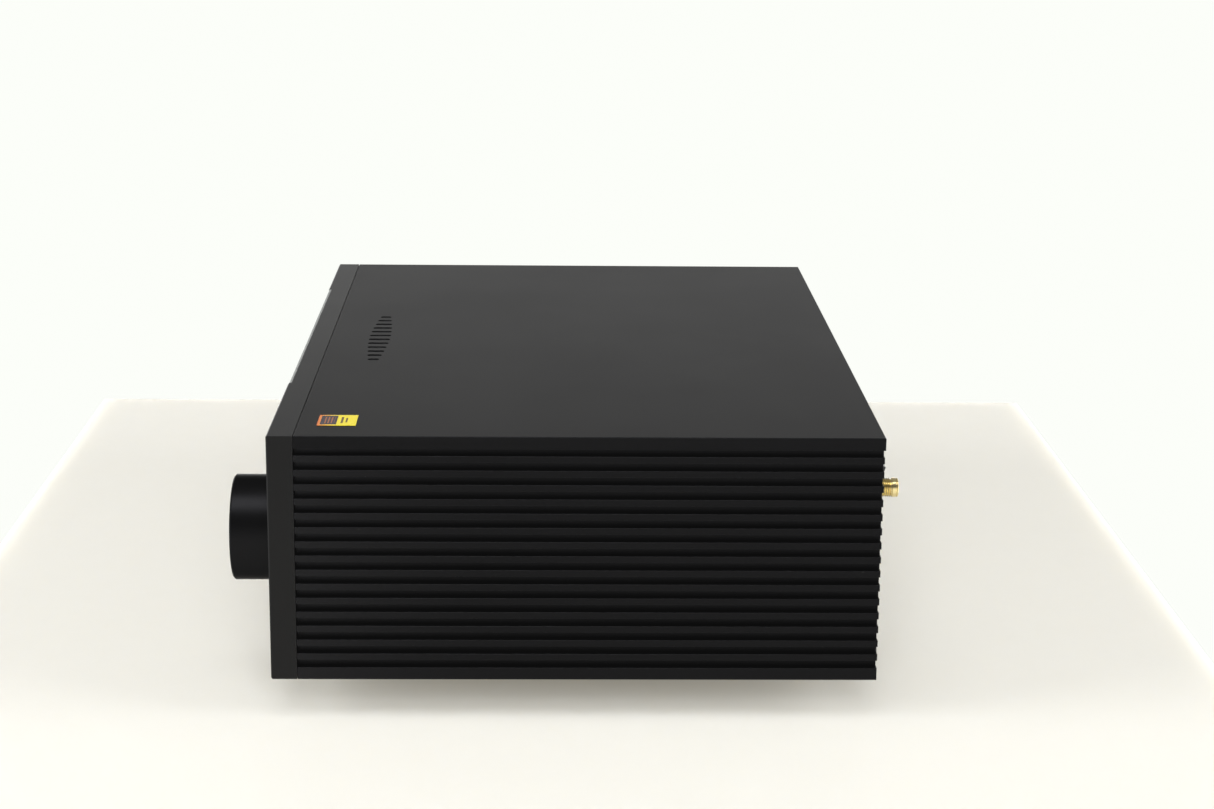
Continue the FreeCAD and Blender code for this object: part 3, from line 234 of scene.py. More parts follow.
class Recipe:
    """A material being built, with short calls for its nodes."""

    def __init__(self, name):
        self.material = bpy.data.materials.new(name)
        self.material.use_nodes = True
        self.tree = self.material.node_tree
        self.shader = self.tree.nodes["Principled BSDF"]
        self.place = self.node("ShaderNodeTexCoord").outputs["Object"]

    def node(self, kind, **settings):
        made = self.tree.nodes.new(kind)
        for key, value in settings.items():
            setattr(made, key, value)
        return made

    def feed(self, source, target):
        self.tree.links.new(source, target)

    def set(self, **sockets):
        """Sets plain values on the shader."""
        for key, value in sockets.items():
            self.shader.inputs[key.replace("_", " ")].default_value = value

    def math(self, operation, first, second=None):
        step = self.node("ShaderNodeMath", operation=operation)
        for socket, value in zip(step.inputs, (first, second)):
            if isinstance(value, (int, float)):
                socket.default_value = value
            elif value is not None:
                self.feed(value, socket)
        return step.outputs[0]

    def axes(self, vector):
        """The X, Y and Z of a vector."""
        parts = self.node("ShaderNodeSeparateXYZ")
        self.feed(vector, parts.inputs[0])
        return parts.outputs

    def ripples(self, distance, pitch):
        """A wave from -1 to 1 that repeats at every pitch."""
        return self.math("SINE", self.math("MULTIPLY", distance, 2 * math.pi / pitch))

    def scaled(self, scale, shift=(0, 0, 0)):
        """Object coordinates moved by a shift and stretched by a scale on each axis."""
        moved = self.node("ShaderNodeVectorMath", operation="SUBTRACT")
        self.feed(self.place, moved.inputs[0])
        moved.inputs[1].default_value = shift
        grown = self.node("ShaderNodeVectorMath", operation="MULTIPLY")
        self.feed(moved.outputs[0], grown.inputs[0])
        grown.inputs[1].default_value = scale
        return grown.outputs[0]

    def noise(self, size, detail=3.0, stretch=(1, 1, 1)):
        """Noise whose blobs are about size metres across."""
        texture = self.node("ShaderNodeTexNoise")
        texture.inputs["Scale"].default_value = 1.0
        texture.inputs["Detail"].default_value = detail
        self.feed(self.scaled(tuple(part / size for part in stretch)), texture.inputs["Vector"])
        return texture.outputs["Fac"]

    def spread(self, value, low, high, from_low=0.3, from_high=0.7):
        """A 0 to 1 pattern remapped to a range of values."""
        step = self.node("ShaderNodeMapRange", clamp=True)
        self.feed(value, step.inputs["Value"])
        step.inputs["From Min"].default_value = from_low
        step.inputs["From Max"].default_value = from_high
        step.inputs["To Min"].default_value = low
        step.inputs["To Max"].default_value = high
        return step.outputs["Result"]

    def blend(self, factor, first, second):
        """Mixes two colours, each a tuple or a socket, by a pattern."""
        mix = self.node("ShaderNodeMix", data_type="RGBA")
        self.feed(factor, mix.inputs[0])
        for socket, value in ((mix.inputs[6], first), (mix.inputs[7], second)):
            if isinstance(value, tuple):
                socket.default_value = (*value, 1.0)
            else:
                self.feed(value, socket)
        return mix.outputs[2]

    def tinted(self, factor, colour, low, high):
        """One colour made darker and lighter by a pattern."""
        dark = tuple(part * low for part in colour)
        pale = tuple(part * high for part in colour)
        return self.blend(factor, dark, pale)

    def colour(self, source):
        self.feed(source, self.shader.inputs["Base Color"])

    def roughness(self, source):
        self.feed(source, self.shader.inputs["Roughness"])

    def relief(self, heights, distance, strength, edge_radius=EDGE_RADIUS):
        """Surface relief over softened edges."""
        bump = self.node("ShaderNodeBump")
        bump.inputs["Strength"].default_value = strength
        bump.inputs["Distance"].default_value = distance
        self.feed(heights, bump.inputs["Height"])
        if edge_radius:
            soft = self.node("ShaderNodeBevel", samples=4)
            soft.inputs["Radius"].default_value = edge_radius
            self.feed(soft.outputs["Normal"], bump.inputs["Normal"])
        self.feed(bump.outputs["Normal"], self.shader.inputs["Normal"])

    def edges(self, radius):
        """1 near an edge, 0 on the flat."""
        soft = self.node("ShaderNodeBevel", samples=4)
        soft.inputs["Radius"].default_value = radius
        flat = self.node("ShaderNodeNewGeometry")
        turn = self.node("ShaderNodeVectorMath", operation="DOT_PRODUCT")
        self.feed(soft.outputs["Normal"], turn.inputs[0])
        self.feed(flat.outputs["Normal"], turn.inputs[1])
        return self.spread(turn.outputs["Value"], 1.0, 0.0, 0.80, 0.995)

    def specks(self, spacing, radius, share):
        """Sparse round specks: a share of cells hold one speck of about that radius."""
        cells = self.node("ShaderNodeTexVoronoi")
        cells.inputs["Scale"].default_value = 1.0
        self.feed(self.scaled((1 / spacing,) * 3), cells.inputs["Vector"])
        near = self.math("LESS_THAN", cells.outputs["Distance"], radius / spacing)
        parts = self.node("ShaderNodeSeparateColor")
        self.feed(cells.outputs["Color"], parts.inputs[0])
        chosen = self.math("LESS_THAN", parts.outputs[0], share)
        return self.math("MULTIPLY", near, chosen)


# ---- Materials

def satin_metal(name, colour=SATIN_BLACK, rough=0.38, lines=(1, 1, 1), dust=0.0, painted_front_light=0.0, wear_and_highlight=0.3):
    """Fine-blasted black anodised aluminium. Its edges are painted paler, partly as rubbed wear and partly as
    a painted highlight. Where asked, it gets dust, or a painted light that makes the front end paler.
    """
    r = Recipe(name)
    grain = r.noise(GRAIN, 2.0, lines)
    cloud = r.noise(35 * MM)
    base = r.tinted(cloud, colour, 0.96, 1.04)
    rubbed_and_highlit = tuple(RUBBED_AND_HIGHLIT_EDGE * part for part in colour)
    # Edges painted paler: partly rubbed wear, partly a painted highlight, strongest on the fins' ridges.
    base = r.blend(r.math("MULTIPLY", r.edges(EDGE_RADIUS), wear_and_highlight), base, rubbed_and_highlit)
    # Painted light: the front end is painted up to 1.75 times paler, standing in for light that falls on it.
    if painted_front_light:
        nearness = r.spread(r.axes(r.place)["Y"], 1.0, 0.0, FRONT_LIGHT_END, FRONT_LIGHT_START)
        share = r.math("MULTIPLY", r.math("MULTIPLY", nearness, nearness), painted_front_light)
        base = r.blend(share, base, tuple(2 * part for part in colour))
    if dust:
        specks = r.math("MULTIPLY", r.specks(DUST_SPACING, DUST_RADIUS, DUST_SHARE), dust)
        base = r.blend(specks, base, DUST)
    r.colour(base)
    r.roughness(r.math("ADD", r.spread(cloud, rough - 0.008, rough + 0.008), r.spread(grain, -0.03, 0.03)))
    r.relief(grain, 0.012 * MM, 0.5)
    r.set(Metallic=1.0, Specular_Tint=(CASE_GRAZING, CASE_GRAZING, CASE_GRAZING, 1.0))
    return r.material


def knob_metal():
    """Turned black aluminium: fine rings on the face and fine lines round the rim."""
    r = Recipe("knob_turned")
    middle = centre_of("volume_knob")
    across = r.node("ShaderNodeVectorMath", operation="LENGTH")
    r.feed(r.scaled((1, 0, 1), (middle.x, 0, middle.z)), across.inputs[0])
    rings = r.ripples(r.math("ADD", across.outputs["Value"], r.axes(r.place)["Y"]), KNOB_RINGS)
    cloud = r.noise(12 * MM)
    r.colour(r.tinted(cloud, KNOB_BLACK, 0.92, 1.08))
    r.roughness(r.math("ADD", r.spread(cloud, 0.33, 0.39), r.math("MULTIPLY", rings, 0.02)))
    r.relief(rings, 0.004 * MM, 0.5)
    r.set(Metallic=1.0, Specular_Tint=(KNOB_GRAZING, KNOB_GRAZING, KNOB_GRAZING, 1.0))
    return r.material


def cover_glass():
    """Black-backed glass: the display shows faintly behind it, and its ground edges are pale."""
    r = Recipe("cover_glass")
    middle = centre_of("display_module")
    half = size_of("display_module") / 2
    offset = r.node("ShaderNodeVectorMath", operation="ABSOLUTE")
    r.feed(r.scaled((1 / half.x, 0, 1 / half.z), tuple(middle)), offset.inputs[0])
    away = r.axes(offset.outputs[0])
    screen = r.math("LESS_THAN", r.math("MAXIMUM", away["X"], away["Z"]), 0.95)
    smear = r.noise(20 * MM, 4.0)
    facing = r.axes(r.node("ShaderNodeNewGeometry").outputs["Normal"])
    edge = r.math("GREATER_THAN", r.math("ABSOLUTE", facing["Z"]), 0.3)
    r.colour(r.blend(edge, r.blend(screen, GLASS_BACKING, SCREEN), GLASS_EDGE))
    r.roughness(r.math("ADD", r.spread(smear, 0.04, 0.09), r.math("MULTIPLY", edge, 0.35)))
    r.relief(smear, 0.002 * MM, 0.1, 0)
    r.set(Specular_IOR_Level=0.5, IOR=1.52)
    return r.material


def powder_coat():
    """Black powder coat with a fine orange-peel texture."""
    r = Recipe("powder_coat")
    peel = r.noise(0.7 * MM, 2.0)
    cloud = r.noise(30 * MM)
    r.colour(r.tinted(cloud, POWDER_BLACK, 0.85, 1.15))
    r.roughness(r.spread(peel, 0.48, 0.62))
    r.relief(peel, 0.04 * MM, 0.6)
    return r.material


def plated(name, colour, rough=0.22, other=None, beyond=0.0):
    """Bright plating with soft clouding and fine scratches, in another metal where X is beyond a place."""
    r = Recipe(name)
    cloud = r.noise(4 * MM)
    scratch = r.noise(0.6 * MM, 4.0, (8, 1, 1))
    metal = r.tinted(cloud, colour, 0.92, 1.05)
    if other:
        across = r.math("GREATER_THAN", r.axes(r.place)["X"], beyond)
        metal = r.blend(across, metal, r.tinted(cloud, other, 0.92, 1.05))
    r.colour(metal)
    r.roughness(r.math("ADD", r.spread(cloud, rough - 0.05, rough + 0.05), r.spread(scratch, -0.03, 0.03)))
    r.relief(scratch, 0.004 * MM, 0.4, FINE_EDGE)
    r.set(Metallic=1.0)
    return r.material


def moulded(name, colour, rough=0.45):
    """Moulded plastic with a fine spark-eroded grain."""
    r = Recipe(name)
    grain = r.noise(0.35 * MM, 2.0)
    cloud = r.noise(10 * MM)
    r.colour(r.tinted(cloud, colour, 0.88, 1.12))
    r.roughness(r.spread(grain, rough - 0.06, rough + 0.06))
    r.relief(grain, 0.02 * MM, 0.5, MOULDED_EDGE)
    r.set(Specular_IOR_Level=0.45)
    return r.material


def rocker_plastic():
    """Moulded rocker with an on bar above and an off ring below, printed in white."""
    r = Recipe("rocker_plastic")
    parts = r.axes(r.scaled((IN_MM, 1, IN_MM), tuple(centre_of("power_rocker"))))
    across = r.math("ABSOLUTE", parts["X"])
    rise = parts["Z"]
    mark = size_of("power_rocker").z / 2 * IN_MM / 2
    stroke = r.math("LESS_THAN", across, 0.35)
    upright = r.math("LESS_THAN", r.math("ABSOLUTE", r.math("SUBTRACT", rise, mark)), 1.5)
    on_bar = r.math("MULTIPLY", stroke, upright)
    off = r.math("ADD", rise, mark)
    reach = r.math("SQRT", r.math("ADD", r.math("MULTIPLY", across, across), r.math("MULTIPLY", off, off)))
    off_ring = r.math("LESS_THAN", r.math("ABSOLUTE", r.math("SUBTRACT", reach, 1.25)), 0.3)
    grain = r.noise(0.35 * MM, 2.0)
    printed = r.math("MAXIMUM", on_bar, off_ring)
    r.colour(r.blend(printed, r.tinted(grain, PLASTIC_BLACK, 0.9, 1.1), WHITE))
    r.roughness(r.spread(grain, 0.30, 0.40))
    r.relief(grain, 0.01 * MM, 0.4, MOULDED_EDGE)
    return r.material


def usb_metal():
    """Nickel shell round blue contact tongues."""
    r = Recipe("usb_shell")
    middle = centre_of("usb_sockets")
    mouth = (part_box("usb_sockets")[1][1] - middle.y) * IN_MM
    parts = r.axes(r.scaled((IN_MM, IN_MM, IN_MM), tuple(middle)))
    slot_rise = size_of("usb_sockets").z * IN_MM * 0.23
    rise = r.math("SUBTRACT", r.math("ABSOLUTE", r.math("SUBTRACT", parts["Z"], 0.8)), slot_rise)
    tongue = r.math("LESS_THAN", r.math("ABSOLUTE", rise), 1.0)
    within = r.math("LESS_THAN", r.math("ABSOLUTE", parts["X"]), 5.65)
    sunk = r.math("LESS_THAN", parts["Y"], mouth - 0.9)
    plastic = r.math("MULTIPLY", r.math("MULTIPLY", tongue, within), sunk)
    cloud = r.noise(3 * MM)
    r.colour(r.blend(plastic, r.tinted(cloud, NICKEL, 0.92, 1.05), CONNECTOR_BLUE))
    r.roughness(r.spread(cloud, 0.22, 0.32))
    r.relief(r.noise(0.8 * MM), 0.006 * MM, 0.4, FINE_EDGE)
    r.feed(r.math("SUBTRACT", 1.0, plastic), r.shader.inputs["Metallic"])
    return r.material


def rubber():
    """Matt black rubber with a fine grain."""
    r = Recipe("soft_rubber")
    grain = r.noise(0.8 * MM)
    r.colour(r.tinted(grain, RUBBER_BLACK, 0.8, 1.25))
    r.roughness(r.spread(grain, 0.72, 0.86))
    r.relief(grain, 0.06 * MM, 0.7, 0.3 * MM)
    return r.material


def turned_foot():
    """Black anodised foot with fine turning rings."""
    r = Recipe("turned_foot")
    rings = r.ripples(r.axes(r.place)["Z"], FOOT_RINGS)
    cloud = r.noise(10 * MM)
    r.colour(r.tinted(cloud, FOOT_BLACK, 0.9, 1.1))
    r.roughness(r.math("ADD", r.spread(cloud, 0.28, 0.34), r.math("MULTIPLY", rings, 0.03)))
    r.relief(rings, 0.008 * MM, 0.5)
    r.set(Metallic=0.3)
    return r.material


def circuit_board():
    """Green solder mask over a web of paler tracks."""
    r = Recipe("circuit_board")
    cells = r.node("ShaderNodeTexVoronoi", feature="DISTANCE_TO_EDGE")
    cells.inputs["Scale"].default_value = 1.0
    r.feed(r.scaled((350, 350, 350)), cells.inputs["Vector"])
    track = r.math("LESS_THAN", cells.outputs["Distance"], 0.06)
    r.colour(r.blend(track, SOLDER_MASK, TRACKS))
    r.roughness(r.spread(r.noise(2 * MM), 0.25, 0.38))
    r.relief(track, 0.02 * MM, 0.5, 0)
    return r.material


def laminations():
    """Stacked transformer plates under varnish."""
    r = Recipe("core_laminations")
    sheets = r.ripples(r.axes(r.place)["Y"], LAMINATION)
    share = r.math("ADD", r.math("MULTIPLY", sheets, 0.5), 0.5)
    r.colour(r.tinted(share, VARNISHED_STEEL, 0.6, 1.2))
    r.roughness(r.spread(r.noise(3 * MM), 0.35, 0.5))
    r.relief(sheets, 0.06 * MM, 0.6, 0)
    r.set(Metallic=0.4)
    return r.material


def sleeved():
    """Capacitor sleeve with a pale stripe down one side and a bare top."""
    r = Recipe("capacitor_sleeve")
    facing = r.axes(r.node("ShaderNodeNewGeometry").outputs["Normal"])
    stripe = r.math("GREATER_THAN", facing["X"], 0.93)
    top = r.math("GREATER_THAN", facing["Z"], 0.8)
    r.colour(r.blend(top, r.blend(stripe, SLEEVE_BLUE, SLEEVE_STRIPE), CAN_TOP))
    r.roughness(r.spread(r.noise(4 * MM), 0.2, 0.32))
    r.relief(r.noise(1.2 * MM), 0.02 * MM, 0.3, 0)
    return r.material


def label_film():
    """Gold film label: orange at the front, yellow at the back, a dark panel with fine lines and two bars."""
    r = Recipe("label_film")
    half = size_of("top_label") / 2
    parts = r.axes(r.scaled((1 / half.x, 1 / half.y, 0), tuple(centre_of("top_label"))))
    across, along = parts["X"], parts["Y"]

    def inside(y_low, y_high, x_reach):
        """1 in a rectangle of the label, whose own edges are at -1 and 1."""
        after = r.math("GREATER_THAN", along, y_low)
        before = r.math("LESS_THAN", along, y_high)
        within = r.math("LESS_THAN", r.math("ABSOLUTE", across), x_reach)
        return r.math("MULTIPLY", r.math("MULTIPLY", after, before), within)

    ground = r.blend(r.spread(along, 0.0, 1.0, -1.0, 0.1), LABEL_ORANGE, LABEL_YELLOW)
    panel = inside(-0.86, -0.02, 0.84)
    rows = r.math("GREATER_THAN", r.math("SINE", r.math("MULTIPLY", along, 38.0)), 0.25)
    printed = r.math("MULTIPLY", rows, inside(-0.72, -0.14, 0.62))
    bars = r.math("MAXIMUM", inside(0.18, 0.30, 0.60), inside(0.42, 0.52, 0.45))
    film = r.blend(panel, ground, r.blend(printed, LABEL_PANEL, LABEL_LINES))
    r.colour(r.blend(bars, film, LABEL_BARS))
    r.roughness(r.spread(r.noise(1 * MM), 0.38, 0.46))
    r.relief(r.noise(0.6 * MM), 0.01 * MM, 0.3, 0)
    r.set(Specular_IOR_Level=0.12)
    return r.material


def phono_plastic():
    """Moulded cores of the phono sockets: red and white for the line outputs, black for the coaxial pair."""
    r = Recipe("socket_cores")
    parts = r.axes(r.place)
    line = centre_of("line_out_sockets")
    coax = centre_of("coax_sockets")
    split_x = (line.x + coax.x) / 2 - 4 * MM
    panel_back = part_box("rear_panel")[0][1] - 2.2 * MM
    coaxial = r.math("GREATER_THAN", parts["X"], split_x)
    upper = r.math("GREATER_THAN", parts["Z"], line.z)
    behind = r.math("LESS_THAN", parts["Y"], panel_back)
    core = r.blend(coaxial, r.blend(upper, CONNECTOR_RED, WHITE), RESIN_BLACK)
    r.colour(r.blend(behind, core, PLASTIC_BLACK))
    r.roughness(r.spread(r.noise(1 * MM), 0.32, 0.45))
    r.relief(r.noise(0.5 * MM), 0.02 * MM, 0.4, FINE_EDGE)
    return r.material


def table_top():
    """Milky plastic sheet, lit softly from below."""
    r = Recipe("milky_sheet")
    fibre = r.noise(12 * MM, 5.0)
    r.colour(r.tinted(fibre, TABLE_COLOUR, 0.995, 1.005))
    r.roughness(r.spread(fibre, 0.55, 0.62))
    r.relief(fibre, 0.02 * MM, 0.1, 0)
    r.set(Specular_IOR_Level=0.2, Emission_Color=TABLE_LIGHT, Emission_Strength=TABLE_GLOW,
          Subsurface_Weight=1.0, Subsurface_Scale=TABLE_DEPTH_SEEN, Subsurface_Radius=(1.0, 0.95, 0.85))
    return r.material


def finishes():
    return {
        "case": satin_metal("case_anodised", dust=0.5),
        # The fins get a painted light on their front end and a stronger painted highlight on their edges,
        # besides real dust.
        "fins": satin_metal("fins_anodised", lines=(1, 0.06, 1), dust=0.35, painted_front_light=0.75, wear_and_highlight=0.6),
        "panel": satin_metal("panel_anodised", PANEL_BLACK, 0.34),
        "knob": knob_metal(),
        "glass": cover_glass(),
        "powder": powder_coat(),
        "nickel": plated("bright_nickel", NICKEL),
        "zinc": plated("zinc_plate", ZINC, 0.32),
        "gold": plated("gold_plate", GOLD, 0.17),
        "brass": plated("turned_brass", BRASS, 0.26),
        "contacts": plated("contact_metal", GOLD, 0.2, NICKEL, centre_of("mains_inlet").x - 20 * MM),
        "usb": usb_metal(),
        "rocker": rocker_plastic(),
        "lamp": moulded("lamp_lens", LAMP_GREEN, 0.25),
        "insulator": moulded("white_insulator", INSULATOR_WHITE, 0.4),
        "black_plastic": moulded("black_plastic", PLASTIC_BLACK),
        "pale_plastic": moulded("pale_plastic", PALE_PLASTIC),
        "rubber": rubber(),
        "foot": turned_foot(),
        "board": circuit_board(),
        "core": laminations(),
        "sleeve": sleeved(),
        "sink": satin_metal("sink_anodised", SINK_BLACK, lines=(1, 0.1, 1)),
        "label": label_film(),
        "socket_cores": phono_plastic(),
        "chip": moulded("chip_resin", RESIN_BLACK, 0.5),
        "screw": plated("blackened_screw", SCREW_BLACK, 0.34),
    }


WEARS = {
    "case": ["top_plate"],
    "fins": ["left_side_panel", "right_side_panel"],
    "panel": ["front_panel"],
    "knob": ["volume_knob"],
    "glass": ["front_glass"],
    "powder": ["bottom_plate", "rear_panel", "xlr_left_socket", "xlr_right_socket"],
    "nickel": ["lan_socket", "encoder_nut", "encoder_shaft", "encoder_body"],
    "zinc": ["display_bracket", "left_front_bracket", "right_front_bracket"],
    "usb": ["usb_sockets"],
    "rocker": ["power_rocker"],
    "contacts": ["contact_pins"],
    "gold": ["aerial_socket", "aerial_nut", "coax_sockets", "line_out_sockets"],
    "brass": ["board_posts"],
    "black_plastic": ["mains_inlet", "switch_body", "optical_in_socket", "optical_out_socket",
                      "optical_in_shutter", "optical_out_shutter", "display_module"],
    "pale_plastic": ["push_plunger", "display_ribbon"],
    "rubber": ["pad_front_left", "pad_front_right", "pad_rear_left", "pad_rear_right"],
    "foot": ["foot_front_left", "foot_front_right", "foot_rear_left", "foot_rear_right"],
    "board": ["main_board", "audio_board", "power_board", "control_board", "display_board"],
    "core": ["power_transformer"],
    "sleeve": ["audio_capacitors", "power_capacitors"],
    "sink": ["processor_heatsink", "power_heatsink"],
    "label": ["top_label"],
    "socket_cores": ["rca_insulators"],
    "chip": ["main_chips", "audio_chips"],
    "screw": ["case_screws", "board_screws", "foot_screws", "knob_grub_screw"],
}


def dress(looks):
    """Gives every CAD node its material."""
    for finish, nodes in WEARS.items():
        for node in nodes:
            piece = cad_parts[node]
            if not piece.material_slots:
                piece.data.materials.append(looks[finish])
            for slot in piece.material_slots:
                slot.material = looks[finish]


# ---- Floor, light and camera

def studio():
    """A pale translucent table with softened edges."""
    slab = bmesh.new()
    size = (TABLE_NEAR - TABLE_FAR, TABLE_RIGHT - TABLE_LEFT, TABLE_THICKNESS)
    middle = ((TABLE_NEAR + TABLE_FAR) / 2, (TABLE_RIGHT + TABLE_LEFT) / 2, -TABLE_THICKNESS / 2)
    bar(slab, middle, size, TABLE_EDGE)
    table = as_object("studio_table", slab, table_top())


def surround():
    """Light from all round: bright low down, dimmer above and dimmer on the camera's side."""
    world = bpy.data.worlds.new("soft_surround")
    bpy.context.scene.world = world
    world.use_nodes = True
    tree = world.node_tree
    nodes, links = tree.nodes, tree.links
    nodes.clear()
    out = nodes.new("ShaderNodeOutputWorld")
    lit = nodes.new("ShaderNodeBackground")
    seen = nodes.new("ShaderNodeBackground")
    choose = nodes.new("ShaderNodeMixShader")
    path = nodes.new("ShaderNodeLightPath")
    place = nodes.new("ShaderNodeTexCoord")
    split = nodes.new("ShaderNodeSeparateXYZ")
    links.new(place.outputs["Generated"], split.inputs[0])

    def ramp(axis, start, end, first, last):
        """A smooth change of strength from one direction to another."""
        step = nodes.new("ShaderNodeMapRange")
        step.interpolation_type = "SMOOTHSTEP"
        links.new(split.outputs[axis], step.inputs["Value"])
        limits = (("From Min", start), ("From Max", end), ("To Min", first), ("To Max", last))
        for socket, value in limits:
            step.inputs[socket].default_value = value
        return step.outputs["Result"]

    strength = nodes.new("ShaderNodeMath")
    strength.operation = "MULTIPLY"
    links.new(ramp("X", 0.3, 0.95, 1.0, SKY_IN_FRONT), strength.inputs[0])
    links.new(ramp("Z", 0.0, 0.36, SKY_LOW, SKY_ABOVE), strength.inputs[1])
    links.new(strength.outputs[0], lit.inputs["Strength"])
    lit.inputs["Color"].default_value = (*SKY_COLOUR, 1.0)
    seen.inputs["Color"].default_value = (*BACKDROP, 1.0)
    seen.inputs["Strength"].default_value = 1.0
    links.new(path.outputs["Is Camera Ray"], choose.inputs[0])
    links.new(lit.outputs[0], choose.inputs[1])
    links.new(seen.outputs[0], choose.inputs[2])
    links.new(choose.outputs[0], out.inputs["Surface"])


def soft_light(name, place, towards, size, power, mirrored=True):
    """A square soft box that points at a place; its mirror image can be kept off shiny surfaces."""
    lamp = bpy.data.lights.new(name, "AREA")
    lamp.size = size
    lamp.energy = power
    box = bpy.data.objects.new(name, lamp)
    box.location = place
    box.rotation_euler = (Vector(towards) - Vector(place)).to_track_quat("-Z", "Y").to_euler()
    box.visible_glossy = mirrored
    box.visible_camera = False
    bpy.context.collection.objects.link(box)


def lighting():
    """A key light from above, with fills from the front, left and right as the camera sees them."""
    soft_light("key", place=(0.74, -0.15, 1.70), towards=(0, 0, 0.05), size=0.9, power=12.5)
    soft_light("front_fill", place=(3.20, 0.0, 1.50), towards=(0.135, 0, 0), size=1.7, power=138.0,
               mirrored=False)
    soft_light("left_fill", place=(0.45, -1.50, 0.60), towards=(0, 0, 0), size=0.9, power=31.0,
               mirrored=False)
    soft_light("right_fill", place=(0.45, 1.50, 0.60), towards=(0, 0, 0), size=0.9, power=26.0,
               mirrored=False)


def camera():
    lens = bpy.data.cameras.new("studio_camera")
    lens.lens = CAMERA_LENS
    lens.sensor_width = SENSOR_WIDTH
    lens.clip_start = NEAREST_SEEN
    lens.clip_end = FARTHEST_SEEN
    body = bpy.data.objects.new("studio_camera", lens)
    aim = (Vector(CAMERA_TOWARDS) - Vector(CAMERA_AT)).to_track_quat("-Z", "Y").to_matrix().to_4x4()
    body.matrix_world = Matrix.Translation(CAMERA_AT) @ aim @ Matrix.Rotation(CAMERA_ROLL, 4, "Z")
    bpy.context.collection.objects.link(body)
    bpy.context.scene.camera = body


def haze():
    """Lifts black a little."""
    view = bpy.context.scene.view_settings
    view.view_transform = "Standard"
    view.use_curve_mapping = True
    view.curve_mapping.black_level = (-VEIL, -VEIL, -VEIL)
    view.curve_mapping.update()


# ---- New pieces, with their outlines in millimetres

def aerial_connector(looks):
    """Gold aerial socket with a wound thread, a grooved lip, a white insulator and a centre contact."""
    low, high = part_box("aerial_socket")
    nut_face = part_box("aerial_nut")[1][1]
    middle = centre_of("aerial_socket")
    axis = Vector((middle.x, 0, middle.z))
    tip = high[1]
    lip_start = tip - LIP_LENGTH
    body = bmesh.new()
    shank = [(low[1], 0.0), (low[1], SHANK_RADIUS), (nut_face, SHANK_RADIUS),
             (nut_face, NECK_RADIUS), (lip_start, NECK_RADIUS)]
    lip = outline(tip, 0, (-1.95, 3.12), (-0.75, 3.12), (-0.65, 2.95), (-0.5, 2.95), (-0.4, 3.1),
                  (-0.15, 3.1), (0, 2.95), (0, 2.4))
    bore = outline(tip, 0, (-0.1, 2.3), (-2.6, 2.3), (-2.6, 0))
    turned(body, shank + lip + bore, axis, 72)
    start = nut_face + 0.5 * THREAD_PITCH
    turns = (lip_start - start) / THREAD_PITCH - 0.3
    thread(body, axis + Vector((0, start, 0)), THREAD_ROOT, THREAD_CREST, THREAD_PITCH, turns)
    panel_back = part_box("rear_panel")[0][1]
    behind = Matrix.Translation((axis.x, panel_back - HEAD_DEPTH / 2, axis.z))
    bmesh.ops.create_cone(body, cap_ends=True, segments=6, radius1=HEAD_RADIUS, radius2=HEAD_RADIUS,
                          depth=HEAD_DEPTH, matrix=behind @ Matrix.Rotation(math.pi / 2, 4, "X"))
    piece = finished("aerial_connector", body, looks["gold"], "case")
    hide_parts("aerial_socket")

    core = bmesh.new()
    washer = outline(tip, 0, (-2.5, 0.7), (-0.9, 0.7), (-0.8, 0.8), (-0.8, 2.1), (-0.95, 2.25), (-2.5, 2.25))
    turned(core, washer, axis, 48, closed=True)
    finished("aerial_insulator", core, looks["insulator"], "case")

    pin = bmesh.new()
    tube = outline(tip, 0, (-2.5, 0.38), (-0.5, 0.38), (-0.4, 0.48), (-0.45, 0.62), (-2.5, 0.62))
    turned(pin, tube, axis, 32, closed=True)
    finished("aerial_contact", pin, looks["gold"], "case")


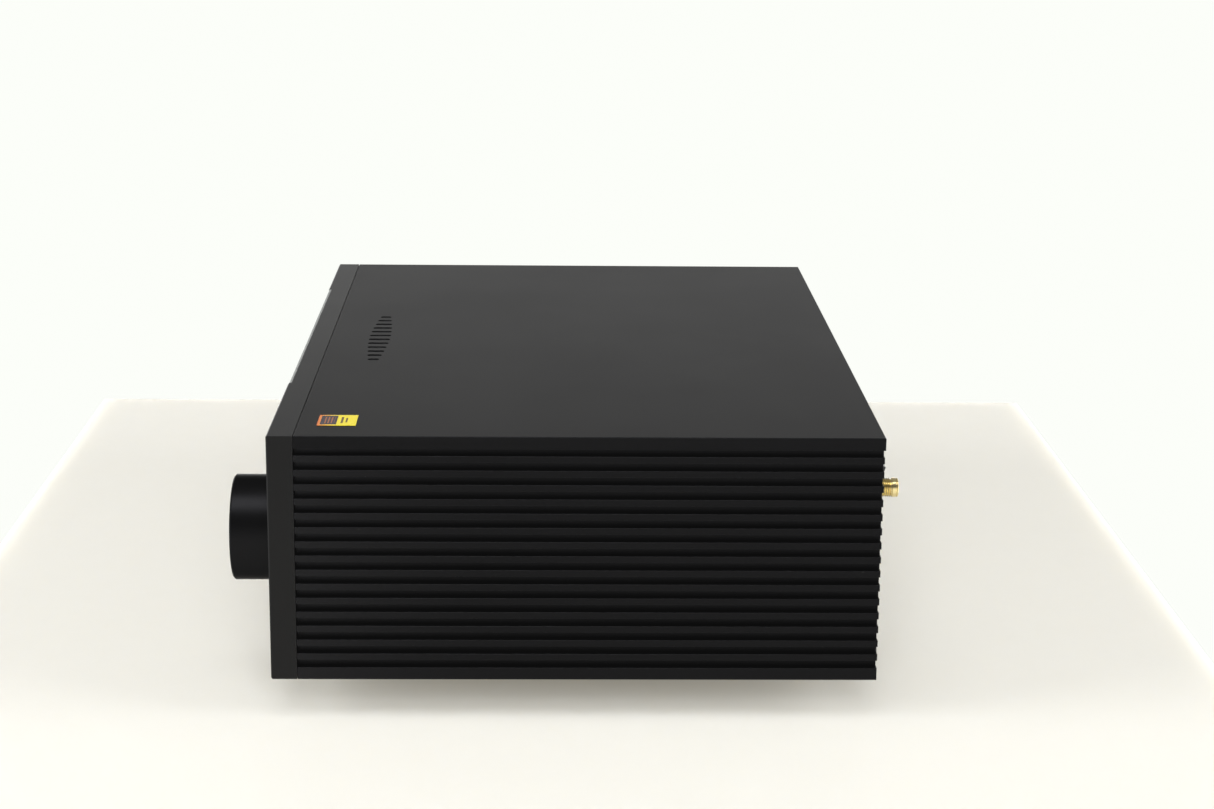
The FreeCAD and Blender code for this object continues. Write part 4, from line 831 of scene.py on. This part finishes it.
def turned_feet(looks):
    """Four turned feet, each with a groove round its middle and softened rims."""
    for place in ("front_left", "front_right", "rear_left", "rear_right"):
        node = "foot_" + place
        low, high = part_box(node)
        base, top = low[2], high[2]
        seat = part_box("pad_" + place)[1][2]
        middle = centre_of(node)
        rim = size_of(node).x / 2
        taper = outline(base, rim, (0, -3.1), (0, -1.75), (0.3, -1.45), (5.2, -0.80))
        groove = outline(base, rim, (5.4, -1.55), (6.3, -1.55), (6.5, -0.62))
        shoulder = outline(top, rim, (-0.6, -0.08), (-0.45, -0.05), (0, -0.5))
        screw_hole = outline(top, 0, (0, 2.05), (-3.0, 2.05), (-3.0, 4.2)) + outline(seat, 0, (0, 4.2))
        pad_seat = outline(seat, rim, (0, -3.3)) + outline(base, rim, (0, -3.3))
        foot = bmesh.new()
        turned(foot, taper + groove + shoulder + screw_hole + pad_seat, Vector((middle.x, middle.y, 0)),
               96, along="Z", closed=True)
        piece = finished("turned_" + node, foot, looks["foot"], "case")
        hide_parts(node)


def phono_contacts(looks):
    """Sprung gold sleeves inside the four phono sockets."""
    sleeves = bmesh.new()
    for node in ("coax_sockets", "line_out_sockets"):
        low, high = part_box(node)
        radius = min(high[0] - low[0], high[2] - low[2]) / 2
        mouth = high[1] - 1.3 * MM
        sleeve = outline(mouth, 0, (-8, 1.58), (-0.2, 1.58), (0, 1.45), (-0.2, 1.3), (-8, 1.3))
        for x, z in ((low[0] + radius, low[2] + radius), (high[0] - radius, high[2] - radius)):
            turned(sleeves, sleeve, Vector((x, 0, z)), 40, closed=True)
    finished("phono_contacts", sleeves, looks["gold"], "case")


def lan_details(looks):
    """Eight sprung wires in the network socket, and two lamps on its face."""
    middle = centre_of("lan_socket")
    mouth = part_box("lan_socket")[1][1]
    wires = bmesh.new()
    for index in range(WIRE_COUNT):
        bar(wires, (0, 0, 0), WIRE_SIZE, WIRE_EDGE)
        fresh = [vert for vert in wires.verts if vert.co.length < 8 * MM]
        x = middle.x + (index - (WIRE_COUNT - 1) / 2) * WIRE_PITCH
        place = Matrix.Translation((x, mouth - WIRE_BACK, middle.z + WIRE_RISE))
        bmesh.ops.transform(wires, matrix=place @ Matrix.Rotation(WIRE_TILT, 4, "X"), verts=fresh)
    finished("lan_wires", wires, looks["gold"], "case")
    lamps = bmesh.new()
    for side in (-1, 1):
        bar(lamps, (middle.x + side * LAMP_OUT, mouth, middle.z + LAMP_RISE), LAMP_SIZE, LAMP_EDGE)
    finished("lan_lamps", lamps, looks["lamp"], "case")


camera()
studio()
surround()
lighting()
haze()

looks = finishes()
dress(looks)
aerial_connector(looks)
turned_feet(looks)
phono_contacts(looks)
lan_details(looks)
